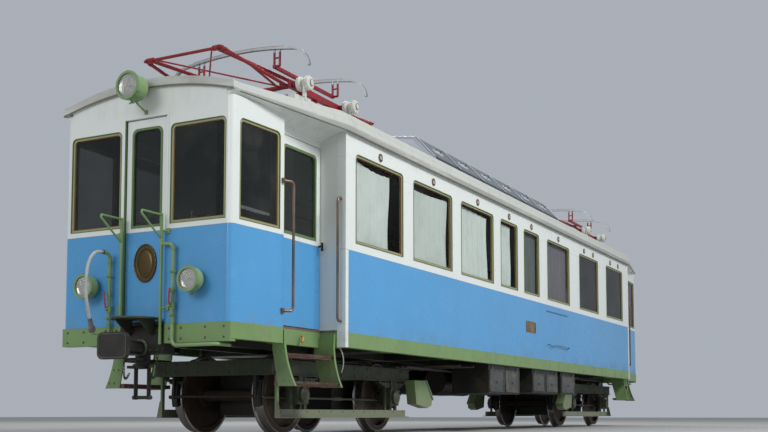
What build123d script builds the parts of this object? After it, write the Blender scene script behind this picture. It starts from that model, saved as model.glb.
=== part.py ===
from build123d import *
from math import asin, cos, degrees, pi, radians, sin, sqrt, tan
import os

os.makedirs("parts", exist_ok=True)

# Vintage narrow-gauge electric railcar, in millimetres.
# +Y runs along the car from the front cab to the rear cab, +X is the side with the
# visible entrance steps, +Z is up and z = 0 lies under the wheel flanges.

# Driving dimensions of the body
body_length = 14480       # over the two end walls
entry_width = 816         # recess between a cab side panel and the saloon
body_width = 2600         # over the saloon side walls
end_width = 2040          # over the corners of an end wall
cab_panel_depth = 794     # end wall to the front edge of the entry door
cab_panel_half = 1069     # half width over the cab side panels at that edge
door_plane = 990          # half width over the recessed entry doors
wall = 45                 # thickness of walls and doors
fit = 0.3                 # gap where one fixed piece is seated on another
running = 8               # gap round a moving leaf

# Heights above the flange bottoms
frame_bottom_z = 921
body_bottom_z = 1076      # top of the solebars, bottom of the painted panels
floor_top_z = 1100
belt_z = 1942             # top of the blue on the sides
window_sill_z = 2030
window_head_z = 2993
eave_z = 3188             # underside of the side eaves
door_head_z = 3020
gangway_head_z = 3090

# Wheels and bogies
gauge = 950
tread_radius = 410
flange_depth = 27
wheel_width = 120
flange_width = 30
axle_radius = 65
journal_radius = 50
journal_clearance = 0.05
bogie_spread = 9200       # between the two bogie centres
wheelbase = 2100          # within one bogie
side_frame_x = 735        # centre plane of a bogie side frame

# Side windows from the saloon's front end: post before the window, its kind, and what
# hangs behind the glass
side_windows = [
    (217, "wide", "curtain"),
    (272, "wide", "curtain"),
    (286, "wide", "curtain"),
    (279, "narrow", "curtain"),
    (271, "narrow", "blind"),
    (389, "wide", "blind"),
    (560, "wide", "bare"),
    (532, "wide", "bare"),
]
last_post = 428           # between the last window and the saloon's rear end
narrow_window = 668
window_corner = 55
corner_post = 68          # front face of a rounded corner post
door_post = 43            # between the gangway doorway and an end window
window_seam = 2           # between an end window and the corner post
gangway_half = 257        # half width of the gangway doorway
cab_window_margins = (110, 60)
saloon_post = (100, 60)   # width and length of the saloon's corner posts
glass = 6
frame_bar = 28            # width of a window frame's bar
frame_depth = 30

# Names worked out from the driving dimensions
half_length = body_length / 2
saloon_length = body_length - 2 * (cab_panel_depth + entry_width)
half_saloon = saloon_length / 2
half_width = body_width / 2
half_end = end_width / 2
panel_end_y = -half_length + cab_panel_depth
axle_z = tread_radius + flange_depth
bogie_y = -bogie_spread / 2
window_height = window_head_z - window_sill_z
window_mid_z = (window_head_z + window_sill_z) / 2
panel_run = sqrt(cab_panel_depth**2 + (cab_panel_half - half_end) ** 2)
cab_window = panel_run - sum(cab_window_margins)
post_x = half_end - corner_post
end_window = post_x - window_seam - gangway_half - door_post
end_window_x = post_x - window_seam - end_window / 2
kinds = [kind for _, kind, _ in side_windows]
glazed = saloon_length - last_post - sum(post for post, _, _ in side_windows)
wide_window = (glazed - narrow_window * kinds.count("narrow")) / kinds.count("wide")
post_inner = half_width - saloon_post[0] - fit
post_back = -half_saloon + saloon_post[1] + fit


def save(part, name):
    """Labels a finished piece and writes it as one STEP file."""
    part.label = name
    export_step(part, f"parts/{name}.step")


def block(x, y, z, mode=Mode.ADD):
    """A box between two x values, two y values and two z values."""
    middle = ((x[0] + x[1]) / 2, (y[0] + y[1]) / 2, (z[0] + z[1]) / 2)
    with Locations(middle):
        Box(x[1] - x[0], y[1] - y[0], z[1] - z[0], mode=mode)


def rod(start, end, radius, mode=Mode.ADD):
    """A round bar between two points."""
    axis = Vector(*end) - Vector(*start)
    with Locations(Plane(origin=start, z_dir=axis)):
        Cylinder(radius, axis.length, align=(Align.CENTER, Align.CENTER, Align.MIN), mode=mode)


def window_shape(width, height, corner):
    """Outline with square bottom corners and rounded top corners, centred."""
    with BuildSketch(mode=Mode.PRIVATE) as outline:
        Rectangle(width, height)
        fillet(outline.vertices().group_by(Axis.Y)[-1], corner)
    return outline.sketch


def frame_shape(width, height, corner):
    """Outline of a window frame's bars, seated in an opening of the given size."""
    with BuildSketch(mode=Mode.PRIVATE) as bars:
        add(window_shape(width - 2 * fit, height - 2 * fit, corner - fit))
        add(
            window_shape(width - 2 * frame_bar, height - 2 * frame_bar, corner - frame_bar / 2),
            mode=Mode.SUBTRACT,
        )
    return bars.sketch


def pane_shape(width, height, corner):
    """Outline of the pane inside such a frame."""
    inset = 2 * (frame_bar + fit)
    return window_shape(width - inset, height - inset, corner - frame_bar / 2 - fit)


def side_window_places():
    """Middle (y, z) of each side window, with its width and covering."""
    places = []
    y = -half_saloon
    for post, kind, covering in side_windows:
        width = wide_window if kind == "wide" else narrow_window
        y += post + width
        places.append(((y - width / 2, window_mid_z), width, covering))
    return places


# Roof cross-section: half width, eave underside, top of the eave band, haunch x and z,
# crown, and crown of the underside
main_section = (1330, eave_z, 3285, 1240, 3410, 3610, 3540)
end_section = (1045, 3228, 3275, 1000, 3312, 3462, 3372)
eave_lip = 75             # width of the eave's underside
lip_rise = 14             # height of the lip inside the eave
end_overhang = 30
end_band = 110            # length of the straight band over an end wall


def roof_section(values):
    """Closed outline of the roof shell at one place along the car."""
    half, under, band, haunch_x, haunch_z, crown, ceiling = values
    mid_x = (half + haunch_x) / 2 + 12
    mid_z = (band + haunch_z) / 2 + 16
    inner = half - eave_lip
    with BuildLine() as line:
        Line((inner, under), (half, under))
        Line((half, under), (half, band))
        ThreePointArc((half, band), (mid_x, mid_z), (haunch_x, haunch_z))
        ThreePointArc((haunch_x, haunch_z), (0, crown), (-haunch_x, haunch_z))
        ThreePointArc((-haunch_x, haunch_z), (-mid_x, mid_z), (-half, band))
        Line((-half, band), (-half, under))
        Line((-half, under), (-inner, under))
        Line((-inner, under), (-inner, under + lip_rise))
        ThreePointArc((-inner, under + lip_rise), (0, ceiling), (inner, under + lip_rise))
        Line((inner, under + lip_rise), (inner, under))
    make_face(line.edges())


def arc_height(x, half, edge_z, crown):
    """Height at x of the arc through (half, edge_z) and (0, crown)."""
    rise = crown - edge_z
    radius = (half**2 + rise**2) / (2 * rise)
    return crown - radius + sqrt(radius**2 - x**2)


band_start_y = -half_length - end_overhang
band_end_y = band_start_y + end_band

with BuildPart() as roof:
    with BuildSketch(Plane.XZ):
        roof_section(main_section)
    extrude(amount=half_saloon)
    with BuildSketch(Plane.XZ.offset(half_saloon)):
        roof_section(main_section)
    with BuildSketch(Plane.XZ.offset(-band_end_y)):
        roof_section(end_section)
    loft(ruled=True)
    with BuildSketch(Plane.XZ.offset(-band_end_y)):
        roof_section(end_section)
    extrude(amount=end_band)
    mirror(about=Plane.XZ)
save(roof.part, "roof")

# Coved soffits between the tapered cab walls and the eaves
soffit_inner = 955
soffit_front = (3171, end_section[1] - fit)
soffit_rear = (3080, main_section[1] - fit)
cove_share = 0.12         # hollow of the cove, as a share of its rise


def soffit_section(inner_z, outer_x, top_z):
    """Filler between a wall and the eave, with a hollow underside."""
    hollow = cove_share * (top_z - inner_z)
    middle = ((soffit_inner + outer_x) / 2, (inner_z + top_z) / 2 + hollow)
    with BuildLine() as line:
        ThreePointArc((soffit_inner, inner_z), middle, (outer_x, top_z))
        Line((outer_x, top_z), (soffit_inner, top_z))
        Line((soffit_inner, top_z), (soffit_inner, inner_z))
    make_face(line.edges())


with BuildPart() as soffits:
    with BuildSketch(Plane.XZ.offset(half_length)):
        soffit_section(soffit_front[0], end_section[0] - 2, soffit_front[1])
    with BuildSketch(Plane.XZ.offset(half_saloon + fit)):
        soffit_section(soffit_rear[0], main_section[0] - 6, soffit_rear[1])
    loft(ruled=True)
    mirror(about=Plane.YZ)
    mirror(about=Plane.XZ)
save(soffits.part, "entry_soffits")

# Underframe: solebars all round, headstocks, bolsters and cross members
solebar = 80
headstock_bottom_z = 897
headstock_gap = 260       # half width of the gap for the draw gear
bolster_length = 400
centre_plate_radius = 180
centre_plate_z = 875
cross_members = [-2900, -1450, 0, 1450, 2900]

frame_corners = [
    (half_end, -half_length),
    (cab_panel_half, panel_end_y),
    (door_plane, panel_end_y),
    (door_plane, -half_saloon),
    (post_inner, -half_saloon),
    (post_inner, post_back),
    (half_width, post_back),
]


def all_round(quarter):
    """Closed plan outline from its corners on the right side of the front half."""
    right = quarter + [(x, -y) for x, y in reversed(quarter)]
    return right + [(-x, y) for x, y in reversed(right)]


with BuildPart() as underframe:
    with BuildSketch(Plane.XY.offset(frame_bottom_z)):
        with BuildLine():
            Polyline(*all_round(frame_corners), close=True)
        make_face()
        offset(amount=-solebar, kind=Kind.INTERSECTION, mode=Mode.SUBTRACT)
        with Locations((headstock_gap + 40, 0), (-headstock_gap - 40, 0)):
            Rectangle(80, body_length - 2 * solebar)
        with Locations(*[(0, y) for y in cross_members]):
            Rectangle(body_width - 2, 90)
        with Locations((0, bogie_y), (0, -bogie_y)):
            Rectangle(body_width - 2, bolster_length)
    extrude(amount=body_bottom_z - frame_bottom_z)
    for end in (-1, 1):
        gap_y = sorted((end * (half_length + 20), end * (half_length - 170)))
        block((-headstock_gap, headstock_gap), gap_y, (900, 1080), mode=Mode.SUBTRACT)
        face_y = sorted((end * (half_length + 6), end * (half_length - solebar)))
        for side in (-1, 1):
            plate_x = sorted((side * headstock_gap, side * (half_end - 2)))
            block(plate_x, face_y, (headstock_bottom_z, body_bottom_z))
        with Locations((0, end * bogie_y, (centre_plate_z + frame_bottom_z) / 2)):
            Cylinder(centre_plate_radius, frame_bottom_z - centre_plate_z)
save(underframe.part, "underframe")

floor_corners = [
    (half_end - 90, -half_length + wall + fit),
    (half_end - 90, panel_end_y),
    (door_plane, panel_end_y),
    (door_plane, -half_saloon),
    (post_inner, -half_saloon),
    (post_inner, post_back),
    (half_width - wall - fit, post_back),
]
with BuildPart() as floor:
    with BuildSketch(Plane.XY.offset(body_bottom_z)):
        with BuildLine():
            Polyline(*all_round(floor_corners), close=True)
        make_face()
    extrude(amount=floor_top_z - body_bottom_z)
save(floor.part, "floor")

# Saloon side walls with their corner posts, the lower sheet standing a little proud
sheet_step = 4
with BuildPart() as side_walls:
    with BuildSketch(Plane.YZ.offset(half_width - wall)):
        with Locations((0, (body_bottom_z + eave_z) / 2)):
            Rectangle(saloon_length, eave_z - body_bottom_z)
        for place, width, _ in side_window_places():
            with Locations(place):
                add(window_shape(width, window_height, window_corner), mode=Mode.SUBTRACT)
    extrude(amount=wall - sheet_step)
    with BuildSketch(Plane.YZ.offset(half_width - sheet_step)):
        with Locations((0, (body_bottom_z + belt_z) / 2)):
            Rectangle(saloon_length - 2 * saloon_post[1], belt_z - body_bottom_z)
    extrude(amount=sheet_step)
    for end in (-1, 1):
        post_y = sorted((end * half_saloon, end * (half_saloon - saloon_post[1])))
        block((half_width - saloon_post[0], half_width), post_y, (frame_bottom_z, eave_z))
    mirror(about=Plane.YZ)
save(side_walls.part, "side_walls")

# End walls with two windows and the framed gangway doorway
surround = 22             # width of the raised strip round the doorway
surround_rise = 6
surround_foot_z = 1160
underside_edge = (end_section[0] - eave_lip, end_section[1] + lip_rise)
wall_top_edge = arc_height(post_x, *underside_edge, end_section[6]) - fit
with BuildPart() as end_walls:
    with BuildSketch(Plane.XZ.offset(half_length - wall)):
        with BuildLine():
            Line((-post_x, body_bottom_z), (post_x, body_bottom_z))
            Line((post_x, body_bottom_z), (post_x, wall_top_edge))
            ThreePointArc(
                (post_x, wall_top_edge), (0, end_section[6] - fit), (-post_x, wall_top_edge)
            )
            Line((-post_x, wall_top_edge), (-post_x, body_bottom_z))
        make_face()
        with Locations((-end_window_x, window_mid_z), (end_window_x, window_mid_z)):
            add(window_shape(end_window, window_height, window_corner), mode=Mode.SUBTRACT)
        with Locations((0, (body_bottom_z + gangway_head_z) / 2)):
            Rectangle(2 * gangway_half, gangway_head_z - body_bottom_z, mode=Mode.SUBTRACT)
    extrude(amount=wall)
    with BuildSketch(Plane.XZ.offset(half_length - 1)):
        with Locations((0, (surround_foot_z + gangway_head_z + surround) / 2)):
            Rectangle(
                2 * (gangway_half + surround), gangway_head_z + surround - surround_foot_z
            )
        with Locations((0, (body_bottom_z + gangway_head_z) / 2)):
            Rectangle(2 * gangway_half, gangway_head_z - body_bottom_z, mode=Mode.SUBTRACT)
    extrude(amount=surround_rise + 1)
    mirror(about=Plane.XZ)

# Cab side panels with rounded corner posts, door jambs and door lintels
corner_radius = corner_post - 10
jamb_inner = door_plane - 40
panel_angle = degrees(asin((cab_panel_half - half_end) / panel_run))
panel_plane = Plane(
    origin=(half_end, -half_length, 0),
    x_dir=(cab_panel_half - half_end, cab_panel_depth, 0),
    z_dir=(cab_panel_depth, half_end - cab_panel_half, 0),
)
lintel_z = door_head_z + running
hinge_radius = 10
hinge_x = door_plane - wall - 5
hinge_y = panel_end_y + 8
hinge_heights = [1300, 2800]
knuckle = 60


def cab_window_place():
    """Middle of the cab side window on the panel's own plane."""
    return (cab_window_margins[0] + cab_window / 2, window_mid_z)


with BuildPart() as cab_sides:
    with BuildSketch(Plane.XY.offset(body_bottom_z)):
        with BuildLine() as outer:
            Polyline(
                (post_x, -half_length),
                (half_end, -half_length),
                (cab_panel_half, panel_end_y),
                (jamb_inner, panel_end_y),
                (jamb_inner, panel_end_y - wall),
                (cab_panel_half - wall - 3, panel_end_y - wall),
                (half_end - wall, -half_length + wall),
                (post_x, -half_length + wall),
                close=True,
            )
        make_face()
    extrude(amount=eave_z - body_bottom_z)
    corner_post = cab_sides.edges().filter_by(Axis.Z).sort_by(
        lambda edge: abs(edge.center().X - half_end) + abs(edge.center().Y + half_length)
    )[0]
    fillet(corner_post, corner_radius)
    with BuildSketch(panel_plane):
        with Locations(cab_window_place()):
            add(window_shape(cab_window, window_height, window_corner))
    extrude(amount=200, both=True, mode=Mode.SUBTRACT)
    block(
        (jamb_inner, door_plane),
        (panel_end_y - 1, -half_saloon - fit),
        (lintel_z, eave_z),
    )
    for height in hinge_heights:
        block((hinge_x, jamb_inner + 2), (panel_end_y - 25, hinge_y), (height, height + knuckle))
        with Locations((hinge_x, hinge_y, height + knuckle / 2)):
            Cylinder(hinge_radius, knuckle)
    add(soffits.part, mode=Mode.SUBTRACT)
    mirror(about=Plane.YZ)
    mirror(about=Plane.XZ)
save(cab_sides.part, "cab_side_panels")

# Bulkheads between the entrance platforms and the saloon
inner_half = half_width - wall - fit
bulkhead_edge = (main_section[0] - eave_lip, main_section[1] + lip_rise)
bulkhead_top = arc_height(post_inner, *bulkhead_edge, main_section[6]) - fit
passage = (700, 2020)
with BuildPart() as bulkheads:
    with BuildSketch(Plane.XZ.offset(half_saloon - wall)):
        with BuildLine():
            Line((-post_inner, floor_top_z), (post_inner, floor_top_z))
            Line((post_inner, floor_top_z), (post_inner, bulkhead_top))
            ThreePointArc(
                (post_inner, bulkhead_top),
                (0, main_section[6] - fit),
                (-post_inner, bulkhead_top),
            )
            Line((-post_inner, bulkhead_top), (-post_inner, floor_top_z))
        make_face()
        with Locations((0, floor_top_z + passage[1] / 2)):
            Rectangle(passage[0], passage[1] + 0.2, mode=Mode.SUBTRACT)
    extrude(amount=wall)
    mirror(about=Plane.XZ)
save(bulkheads.part, "bulkheads")

# Window frames and panes
frame_x = half_width - wall + 6
pane_offset = (frame_depth - glass) / 2
end_frame_y = half_length - wall + 6

with BuildPart() as window_frames:
    with BuildSketch(Plane.YZ.offset(frame_x)):
        for place, width, _ in side_window_places():
            with Locations(place):
                add(frame_shape(width, window_height, window_corner))
    extrude(amount=frame_depth)
    with BuildSketch(panel_plane.offset(6 - wall)):
        with Locations(cab_window_place()):
            add(frame_shape(cab_window, window_height, window_corner))
    extrude(amount=frame_depth)
    mirror(about=Plane.YZ)
    with BuildSketch(Plane.XZ.offset(end_frame_y)):
        with Locations((-end_window_x, window_mid_z), (end_window_x, window_mid_z)):
            add(frame_shape(end_window, window_height, window_corner))
    extrude(amount=frame_depth)
    cab_frames = window_frames.solids().filter_by(lambda s: s.center().Y < -half_saloon)
    add(mirror(cab_frames, about=Plane.XZ, mode=Mode.PRIVATE))
save(window_frames.part, "window_frames")

with BuildPart() as window_glass:
    with BuildSketch(Plane.YZ.offset(frame_x + pane_offset)):
        for place, width, _ in side_window_places():
            with Locations(place):
                add(pane_shape(width, window_height, window_corner))
    extrude(amount=glass)
    with BuildSketch(panel_plane.offset(6 - wall + pane_offset)):
        with Locations(cab_window_place()):
            add(pane_shape(cab_window, window_height, window_corner))
    extrude(amount=glass)
    mirror(about=Plane.YZ)
    with BuildSketch(Plane.XZ.offset(end_frame_y + pane_offset)):
        with Locations((-end_window_x, window_mid_z), (end_window_x, window_mid_z)):
            add(pane_shape(end_window, window_height, window_corner))
    extrude(amount=glass)
    cab_panes = window_glass.solids().filter_by(lambda s: s.center().Y < -half_saloon)
    add(mirror(cab_panes, about=Plane.XZ, mode=Mode.PRIVATE))
save(window_glass.part, "window_glass")

# Curtains and blinds hang behind the panes from a rail on the wall's inner face
curtain_x = half_width - wall - 26
curtain_thickness = 10
curtain_drop = window_height - 20
rail = 24
with BuildPart() as curtains:
    for place, width, covering in side_window_places():
        if covering == "bare":
            continue
        span = (place[0] - width / 2 - 10, place[0] + width / 2 + 10)
        top = window_head_z + rail
        block(
            (curtain_x, curtain_x + curtain_thickness),
            span,
            (window_head_z - curtain_drop, top),
        )
        block((curtain_x, half_width - wall - fit), span, (top - rail, top))
    mirror(about=Plane.YZ)
save(curtains.part, "curtains")

# Entry doors: a leaf with a framed window, guard bars, hinge knuckles and a handle. They
# open inwards.
door_leaf = 35
door_outer = door_plane
door_inner = door_plane - door_leaf
door_y = (panel_end_y + running * 2, -half_saloon - running)
door_stile = 76           # leaf beside its window
bead = 28                 # raised bead round a door's window
bead_rise = 5
guard_bars = [2240, 2450]
door_bottom_z = floor_top_z + running
door_window_z = (window_sill_z, window_head_z - 60)
handle_z = 1980


def leaf_window(inset):
    """Outline of the entry door's window, with the bead's width taken off or not."""
    width = door_y[1] - door_y[0] - 2 * door_stile - 2 * inset
    return window_shape(width, door_window_z[1] - door_window_z[0] - 2 * inset, window_corner)


with BuildPart() as entry_door:
    door_mid = sum(door_y) / 2
    window_place = (door_mid, sum(door_window_z) / 2)
    with BuildSketch(Plane.YZ.offset(door_inner)):
        with Locations((door_mid, (door_bottom_z + door_head_z) / 2)):
            Rectangle(door_y[1] - door_y[0], door_head_z - door_bottom_z)
        with Locations(window_place):
            add(leaf_window(bead), mode=Mode.SUBTRACT)
    extrude(amount=door_leaf)
    with BuildSketch(Plane.YZ.offset(door_outer - 1)):
        with Locations(window_place):
            add(leaf_window(0))
            add(leaf_window(bead), mode=Mode.SUBTRACT)
    extrude(amount=bead_rise + 1)
    with BuildSketch(Plane.YZ.offset(door_inner + 14)):
        with Locations(window_place):
            add(leaf_window(bead - 1))
    extrude(amount=glass)
    for height in guard_bars:
        bar_ends = (door_y[0] + door_stile + bead - 1, door_y[1] - door_stile - bead + 1)
        rod((door_inner + 6, bar_ends[0], height), (door_inner + 6, bar_ends[1], height), 5)
    for height in hinge_heights:
        low = height + knuckle + fit
        block((hinge_x, door_inner + 2), (hinge_y, hinge_y + 34), (low, low + knuckle))
        with Locations((hinge_x, hinge_y, low + knuckle / 2)):
            Cylinder(hinge_radius, knuckle)
    handle_y = door_y[1] - 34
    rod((door_outer - 1, handle_y, handle_z), (door_outer + 52, handle_y, handle_z), 10)
    block(
        (door_outer + 44, door_outer + 58),
        (handle_y - 11, handle_y + 11),
        (handle_z - 50, handle_z + 50),
    )

door_places = [
    ("front", "right"),
    ("front", "left"),
    ("rear", "right"),
    ("rear", "left"),
]
for end, side in door_places:
    leaf = entry_door.part
    if end == "rear":
        leaf = leaf.mirror(Plane.XZ)
    if side == "left":
        leaf = leaf.mirror(Plane.YZ)
    save(leaf, f"entry_door_{end}_{side}")

# Gangway doors in the end walls, with a blank oval plate, opening inwards
gangway_leaf_half = gangway_half - running
gangway_inner_y = -half_length + wall + 15
gangway_outer_y = gangway_inner_y - door_leaf
gangway_hinge = (-gangway_leaf_half - 3, gangway_inner_y + 5)
gangway_stile = 69        # leaf beside its window
gangway_bead = 16
oval_radii = (135, 184)
oval_z = 1674


def gangway_window(inset):
    """Outline of the gangway door's window, with the bead's width taken off or not."""
    width = 2 * (gangway_leaf_half - gangway_stile - inset)
    return window_shape(width, window_height - 2 * inset, window_corner)


with BuildPart() as gangway_door:
    with BuildSketch(Plane.XZ.offset(-gangway_inner_y)):
        with Locations((0, (door_bottom_z + gangway_head_z - running) / 2)):
            Rectangle(2 * gangway_leaf_half, gangway_head_z - running - door_bottom_z)
        with Locations((0, window_mid_z)):
            add(gangway_window(gangway_bead), mode=Mode.SUBTRACT)
    extrude(amount=door_leaf)
    with BuildSketch(Plane.XZ.offset(-gangway_outer_y - 1)):
        with Locations((0, window_mid_z)):
            add(gangway_window(0))
            add(gangway_window(gangway_bead), mode=Mode.SUBTRACT)
    extrude(amount=bead_rise + 1)
    with BuildSketch(Plane.XZ.offset(-gangway_inner_y + 14)):
        with Locations((0, window_mid_z)):
            add(gangway_window(gangway_bead - 1))
    extrude(amount=glass)
    with BuildSketch(Plane.XZ.offset(-gangway_outer_y)):
        with Locations((0, oval_z)):
            Ellipse(*oval_radii)
    extrude(amount=8)
    for height in hinge_heights:
        low = height + knuckle + fit
        block(
            (gangway_hinge[0], gangway_hinge[0] + 34),
            (gangway_inner_y - 2, gangway_hinge[1]),
            (low, low + knuckle),
        )
        with Locations((*gangway_hinge, low + knuckle / 2)):
            Cylinder(5, knuckle)
save(gangway_door.part, "gangway_door_front")
save(gangway_door.part.mirror(Plane.XZ), "gangway_door_rear")

with end_walls:
    for height in hinge_heights:
        for end in (-1, 1):
            block(
                (-gangway_half - 40, gangway_hinge[0]),
                sorted((end * (half_length - wall + 1), -end * gangway_hinge[1])),
                (height, height + knuckle),
            )
            with Locations((gangway_hinge[0], -end * gangway_hinge[1], height + knuckle / 2)):
                Cylinder(5, knuckle)
save(end_walls.part, "end_walls")

# Seats: pairs of benches facing each other at each wide window
bench_depth = 420
bench_x = (360, inner_half - 30)
seat_top_z = 1540
back_top_z = 1990
with BuildPart() as seats:
    for place, width, _ in side_window_places():
        if width < wide_window:
            continue
        for facing in (-1, 1):
            back_y = place[0] + facing * (width / 2 + 70)
            with BuildSketch(Plane.YZ.offset(bench_x[0])):
                with BuildLine():
                    Polyline(
                        (back_y, floor_top_z),
                        (back_y, back_top_z),
                        (back_y - facing * 50, back_top_z),
                        (back_y - facing * 90, seat_top_z),
                        (back_y - facing * bench_depth, seat_top_z),
                        (back_y - facing * bench_depth, seat_top_z - 60),
                        (back_y - facing * 100, seat_top_z - 60),
                        (back_y - facing * 100, floor_top_z),
                        close=True,
                    )
                make_face()
            extrude(amount=bench_x[1] - bench_x[0])
    mirror(about=Plane.YZ)
save(seats.part, "seats")

# Driver's controller with its crank handle, at the driver's place in each cab
desk_x = end_window_x + 15
desk_half = (150, 120)
desk_top_z = 2060
crank_z = 2110
crank_length = 230
with BuildPart() as desk:
    desk_y = -half_length + wall + fit + desk_half[1]
    block(
        (desk_x - desk_half[0], desk_x + desk_half[0]),
        (desk_y - desk_half[1], desk_y + desk_half[1]),
        (floor_top_z, 1980),
    )
    rod((desk_x, desk_y, 1979), (desk_x, desk_y, desk_top_z), 95)
    rod((desk_x, desk_y, desk_top_z - 1), (desk_x, desk_y, crank_z), 14)
    rod((desk_x, desk_y, crank_z), (desk_x - crank_length, desk_y + 40, crank_z), 10)
    rod(
        (desk_x - crank_length, desk_y + 40, crank_z - 12),
        (desk_x - crank_length, desk_y + 40, crank_z + 70),
        17,
    )
with BuildPart() as controls:
    with PolarLocations(0, 2):
        add(desk.part)
save(controls.part, "driver_controls")

# Entrance steps: curved stringers with a flange, and two wooden treads on each side
step_y = (panel_end_y + 20, -half_saloon - 10)
step_inner = 935
step_levels = [831, 554]
tread_thickness = 42
step_foot_z = 505
stringer_top_z = 1056
stringer = 14             # thickness of a stringer
flange = (6, 30)          # thickness and width of its edge flange
step_hollow = 38          # depth of the stringers' curved edge
# Outer edge at its top and foot, and the foot's inner corner, for the front and rear one
stringer_reach = [
    (cab_panel_half, cab_panel_half + 131, 1003),
    (half_width - 112, half_width - 23, 1029),
]


def stringer_arc(reach, inset):
    """Top, hollow middle and foot of a stringer's outer edge, moved in by the inset."""
    top = Vector(reach[0] - inset, stringer_top_z)
    foot = Vector(reach[1] - inset, step_foot_z)
    along = (foot - top).normalized()
    middle = (top + foot) * 0.5 + Vector(along.Y, -along.X) * step_hollow
    return top, middle, foot


def edge_x(reach, z):
    """x of a stringer's outer edge at one height."""
    top, middle, foot = stringer_arc(reach, 0)
    chord = (foot - top).length
    radius = (chord**2 / 4 + step_hollow**2) / (2 * step_hollow)
    outward = ((top + foot) * 0.5 - middle).normalized()
    centre = middle + outward * radius
    return centre.X - sqrt(radius**2 - (z - centre.Y) ** 2)


def stringer_outline(reach):
    """Face of one stringer, seen along the car: it rises into the entrance's recess."""
    top, middle, foot = stringer_arc(reach, 0)
    seat_z = frame_bottom_z - fit
    recess_x = door_plane + fit
    with BuildLine() as line:
        ThreePointArc(top, middle, foot)
        Polyline(
            foot,
            (reach[2], step_foot_z),
            (step_inner, seat_z - 60),
            (step_inner, seat_z),
            (recess_x, seat_z),
            (recess_x, stringer_top_z - 50),
            (recess_x + 50, stringer_top_z),
            top,
        )
    make_face(line.edges())


def flange_outline(reach):
    """Strip along a stringer's outer edge."""
    outer = stringer_arc(reach, 0)
    inner = stringer_arc(reach, flange[0])
    with BuildLine() as line:
        ThreePointArc(*outer)
        Line(outer[2], inner[2])
        ThreePointArc(inner[2], inner[1], inner[0])
        Line(inner[0], outer[0])
    make_face(line.edges())


with BuildPart() as steps:
    for hand, y, reach in zip((1, -1), step_y, stringer_reach):
        with BuildSketch(Plane.XZ.offset(-y)):
            stringer_outline(reach)
        extrude(amount=-hand * stringer)
        with BuildSketch(Plane.XZ.offset(-y)):
            flange_outline(reach)
        extrude(amount=-hand * flange[1])
        for level in step_levels:
            block(
                (reach[2] + 5, edge_x(reach, level) - 40),
                sorted((y + hand * (stringer - 1), y + hand * (stringer + 26))),
                (level - tread_thickness - 6, level - tread_thickness - fit),
            )
    mirror(about=Plane.YZ)
    mirror(about=Plane.XZ)
save(steps.part, "entry_steps")

with BuildPart() as treads:
    for level in step_levels:
        near, far = (edge_x(reach, level) - flange[0] - fit for reach in stringer_reach)
        ends = (step_y[0] + stringer + fit, step_y[1] - stringer - fit)
        with BuildSketch(Plane.XY.offset(level - tread_thickness)):
            with BuildLine():
                Polyline(
                    (step_inner + 13, ends[0]),
                    (near - 14, ends[0]),
                    (far - 14, ends[1]),
                    (step_inner + 13, ends[1]),
                    close=True,
                )
            make_face()
        extrude(amount=tread_thickness)
    mirror(about=Plane.YZ)
    mirror(about=Plane.XZ)
save(treads.part, "step_treads")

# Bogies: the front one is modelled and mirrored for the rear
frame_half = wheelbase / 2 + 500
beam_z = (630, 790)
low_beam_z = (193, 283)
low_beam_half = frame_half - 100
plate = 24
frame_flange = (35, 12)   # half width and thickness of a side frame's flanges
leg = 50
shackle = 8
leaf_lengths = (340, 290, 240, 190)  # half lengths of the spring leaves
box_half = 110
box_x = (660, 800)
box_z = (337, 537)
journal_end = 790
axle_places = [bogie_y - wheelbase / 2, bogie_y + wheelbase / 2]

with BuildPart() as bogie_frame:
    with BuildSketch(Plane.YZ.offset(side_frame_x - plate / 2)):
        with Locations((bogie_y, sum(beam_z) / 2)):
            Rectangle(2 * frame_half, beam_z[1] - beam_z[0])
        for axle_y in axle_places:
            for hand in (-1, 1):
                foot = axle_y + hand * (box_half + leg / 2)
                with Locations((foot, (low_beam_z[1] + beam_z[0] + 1) / 2)):
                    Rectangle(leg, beam_z[0] - low_beam_z[1] + 1)
    extrude(amount=plate)
    for level in (beam_z[0], beam_z[1] - frame_flange[1]):
        block(
            (side_frame_x - frame_flange[0], side_frame_x + frame_flange[0]),
            (bogie_y - frame_half, bogie_y + frame_half),
            (level, level + frame_flange[1]),
        )
    for axle_y in axle_places:
        for hand in (-1, 1):
            end_y = axle_y + hand * (leaf_lengths[0] - 15)
            block(
                (side_frame_x - 30, side_frame_x + 30),
                (end_y - shackle, end_y + shackle),
                (box_z[1] + 70, beam_z[0] + 1),
            )
        block(box_x, (axle_y - box_half, axle_y + box_half), box_z)
        rod((box_x[1], axle_y, axle_z), (box_x[1] + 26, axle_y, axle_z), 84)
        for count, length in enumerate(leaf_lengths):
            level = box_z[1] + 62 - 16 * count
            block(
                (side_frame_x - 40, side_frame_x + 40),
                (axle_y - length, axle_y + length),
                (level, level + 15),
            )
        block(
            (side_frame_x - 46, side_frame_x + 46),
            (axle_y - 45, axle_y + 45),
            (box_z[1] - 1, beam_z[0] + 1),
        )
        rod(
            (box_x[0] - 1, axle_y, axle_z),
            (journal_end + 6, axle_y, axle_z),
            journal_radius + journal_clearance,
            mode=Mode.SUBTRACT,
        )
    mirror(about=Plane.YZ)
    inner = side_frame_x - plate / 2 + 1
    block((-inner, inner), (bogie_y - 180, bogie_y + 180), (620, beam_z[1]))
    for hand in (-1, 1):
        far = sorted((bogie_y + hand * frame_half, bogie_y + hand * (frame_half - 60)))
        block((-inner, inner), far, beam_z)
    rod((0, bogie_y, beam_z[1] - 1), (0, bogie_y, centre_plate_z - fit), centre_plate_radius)

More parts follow.
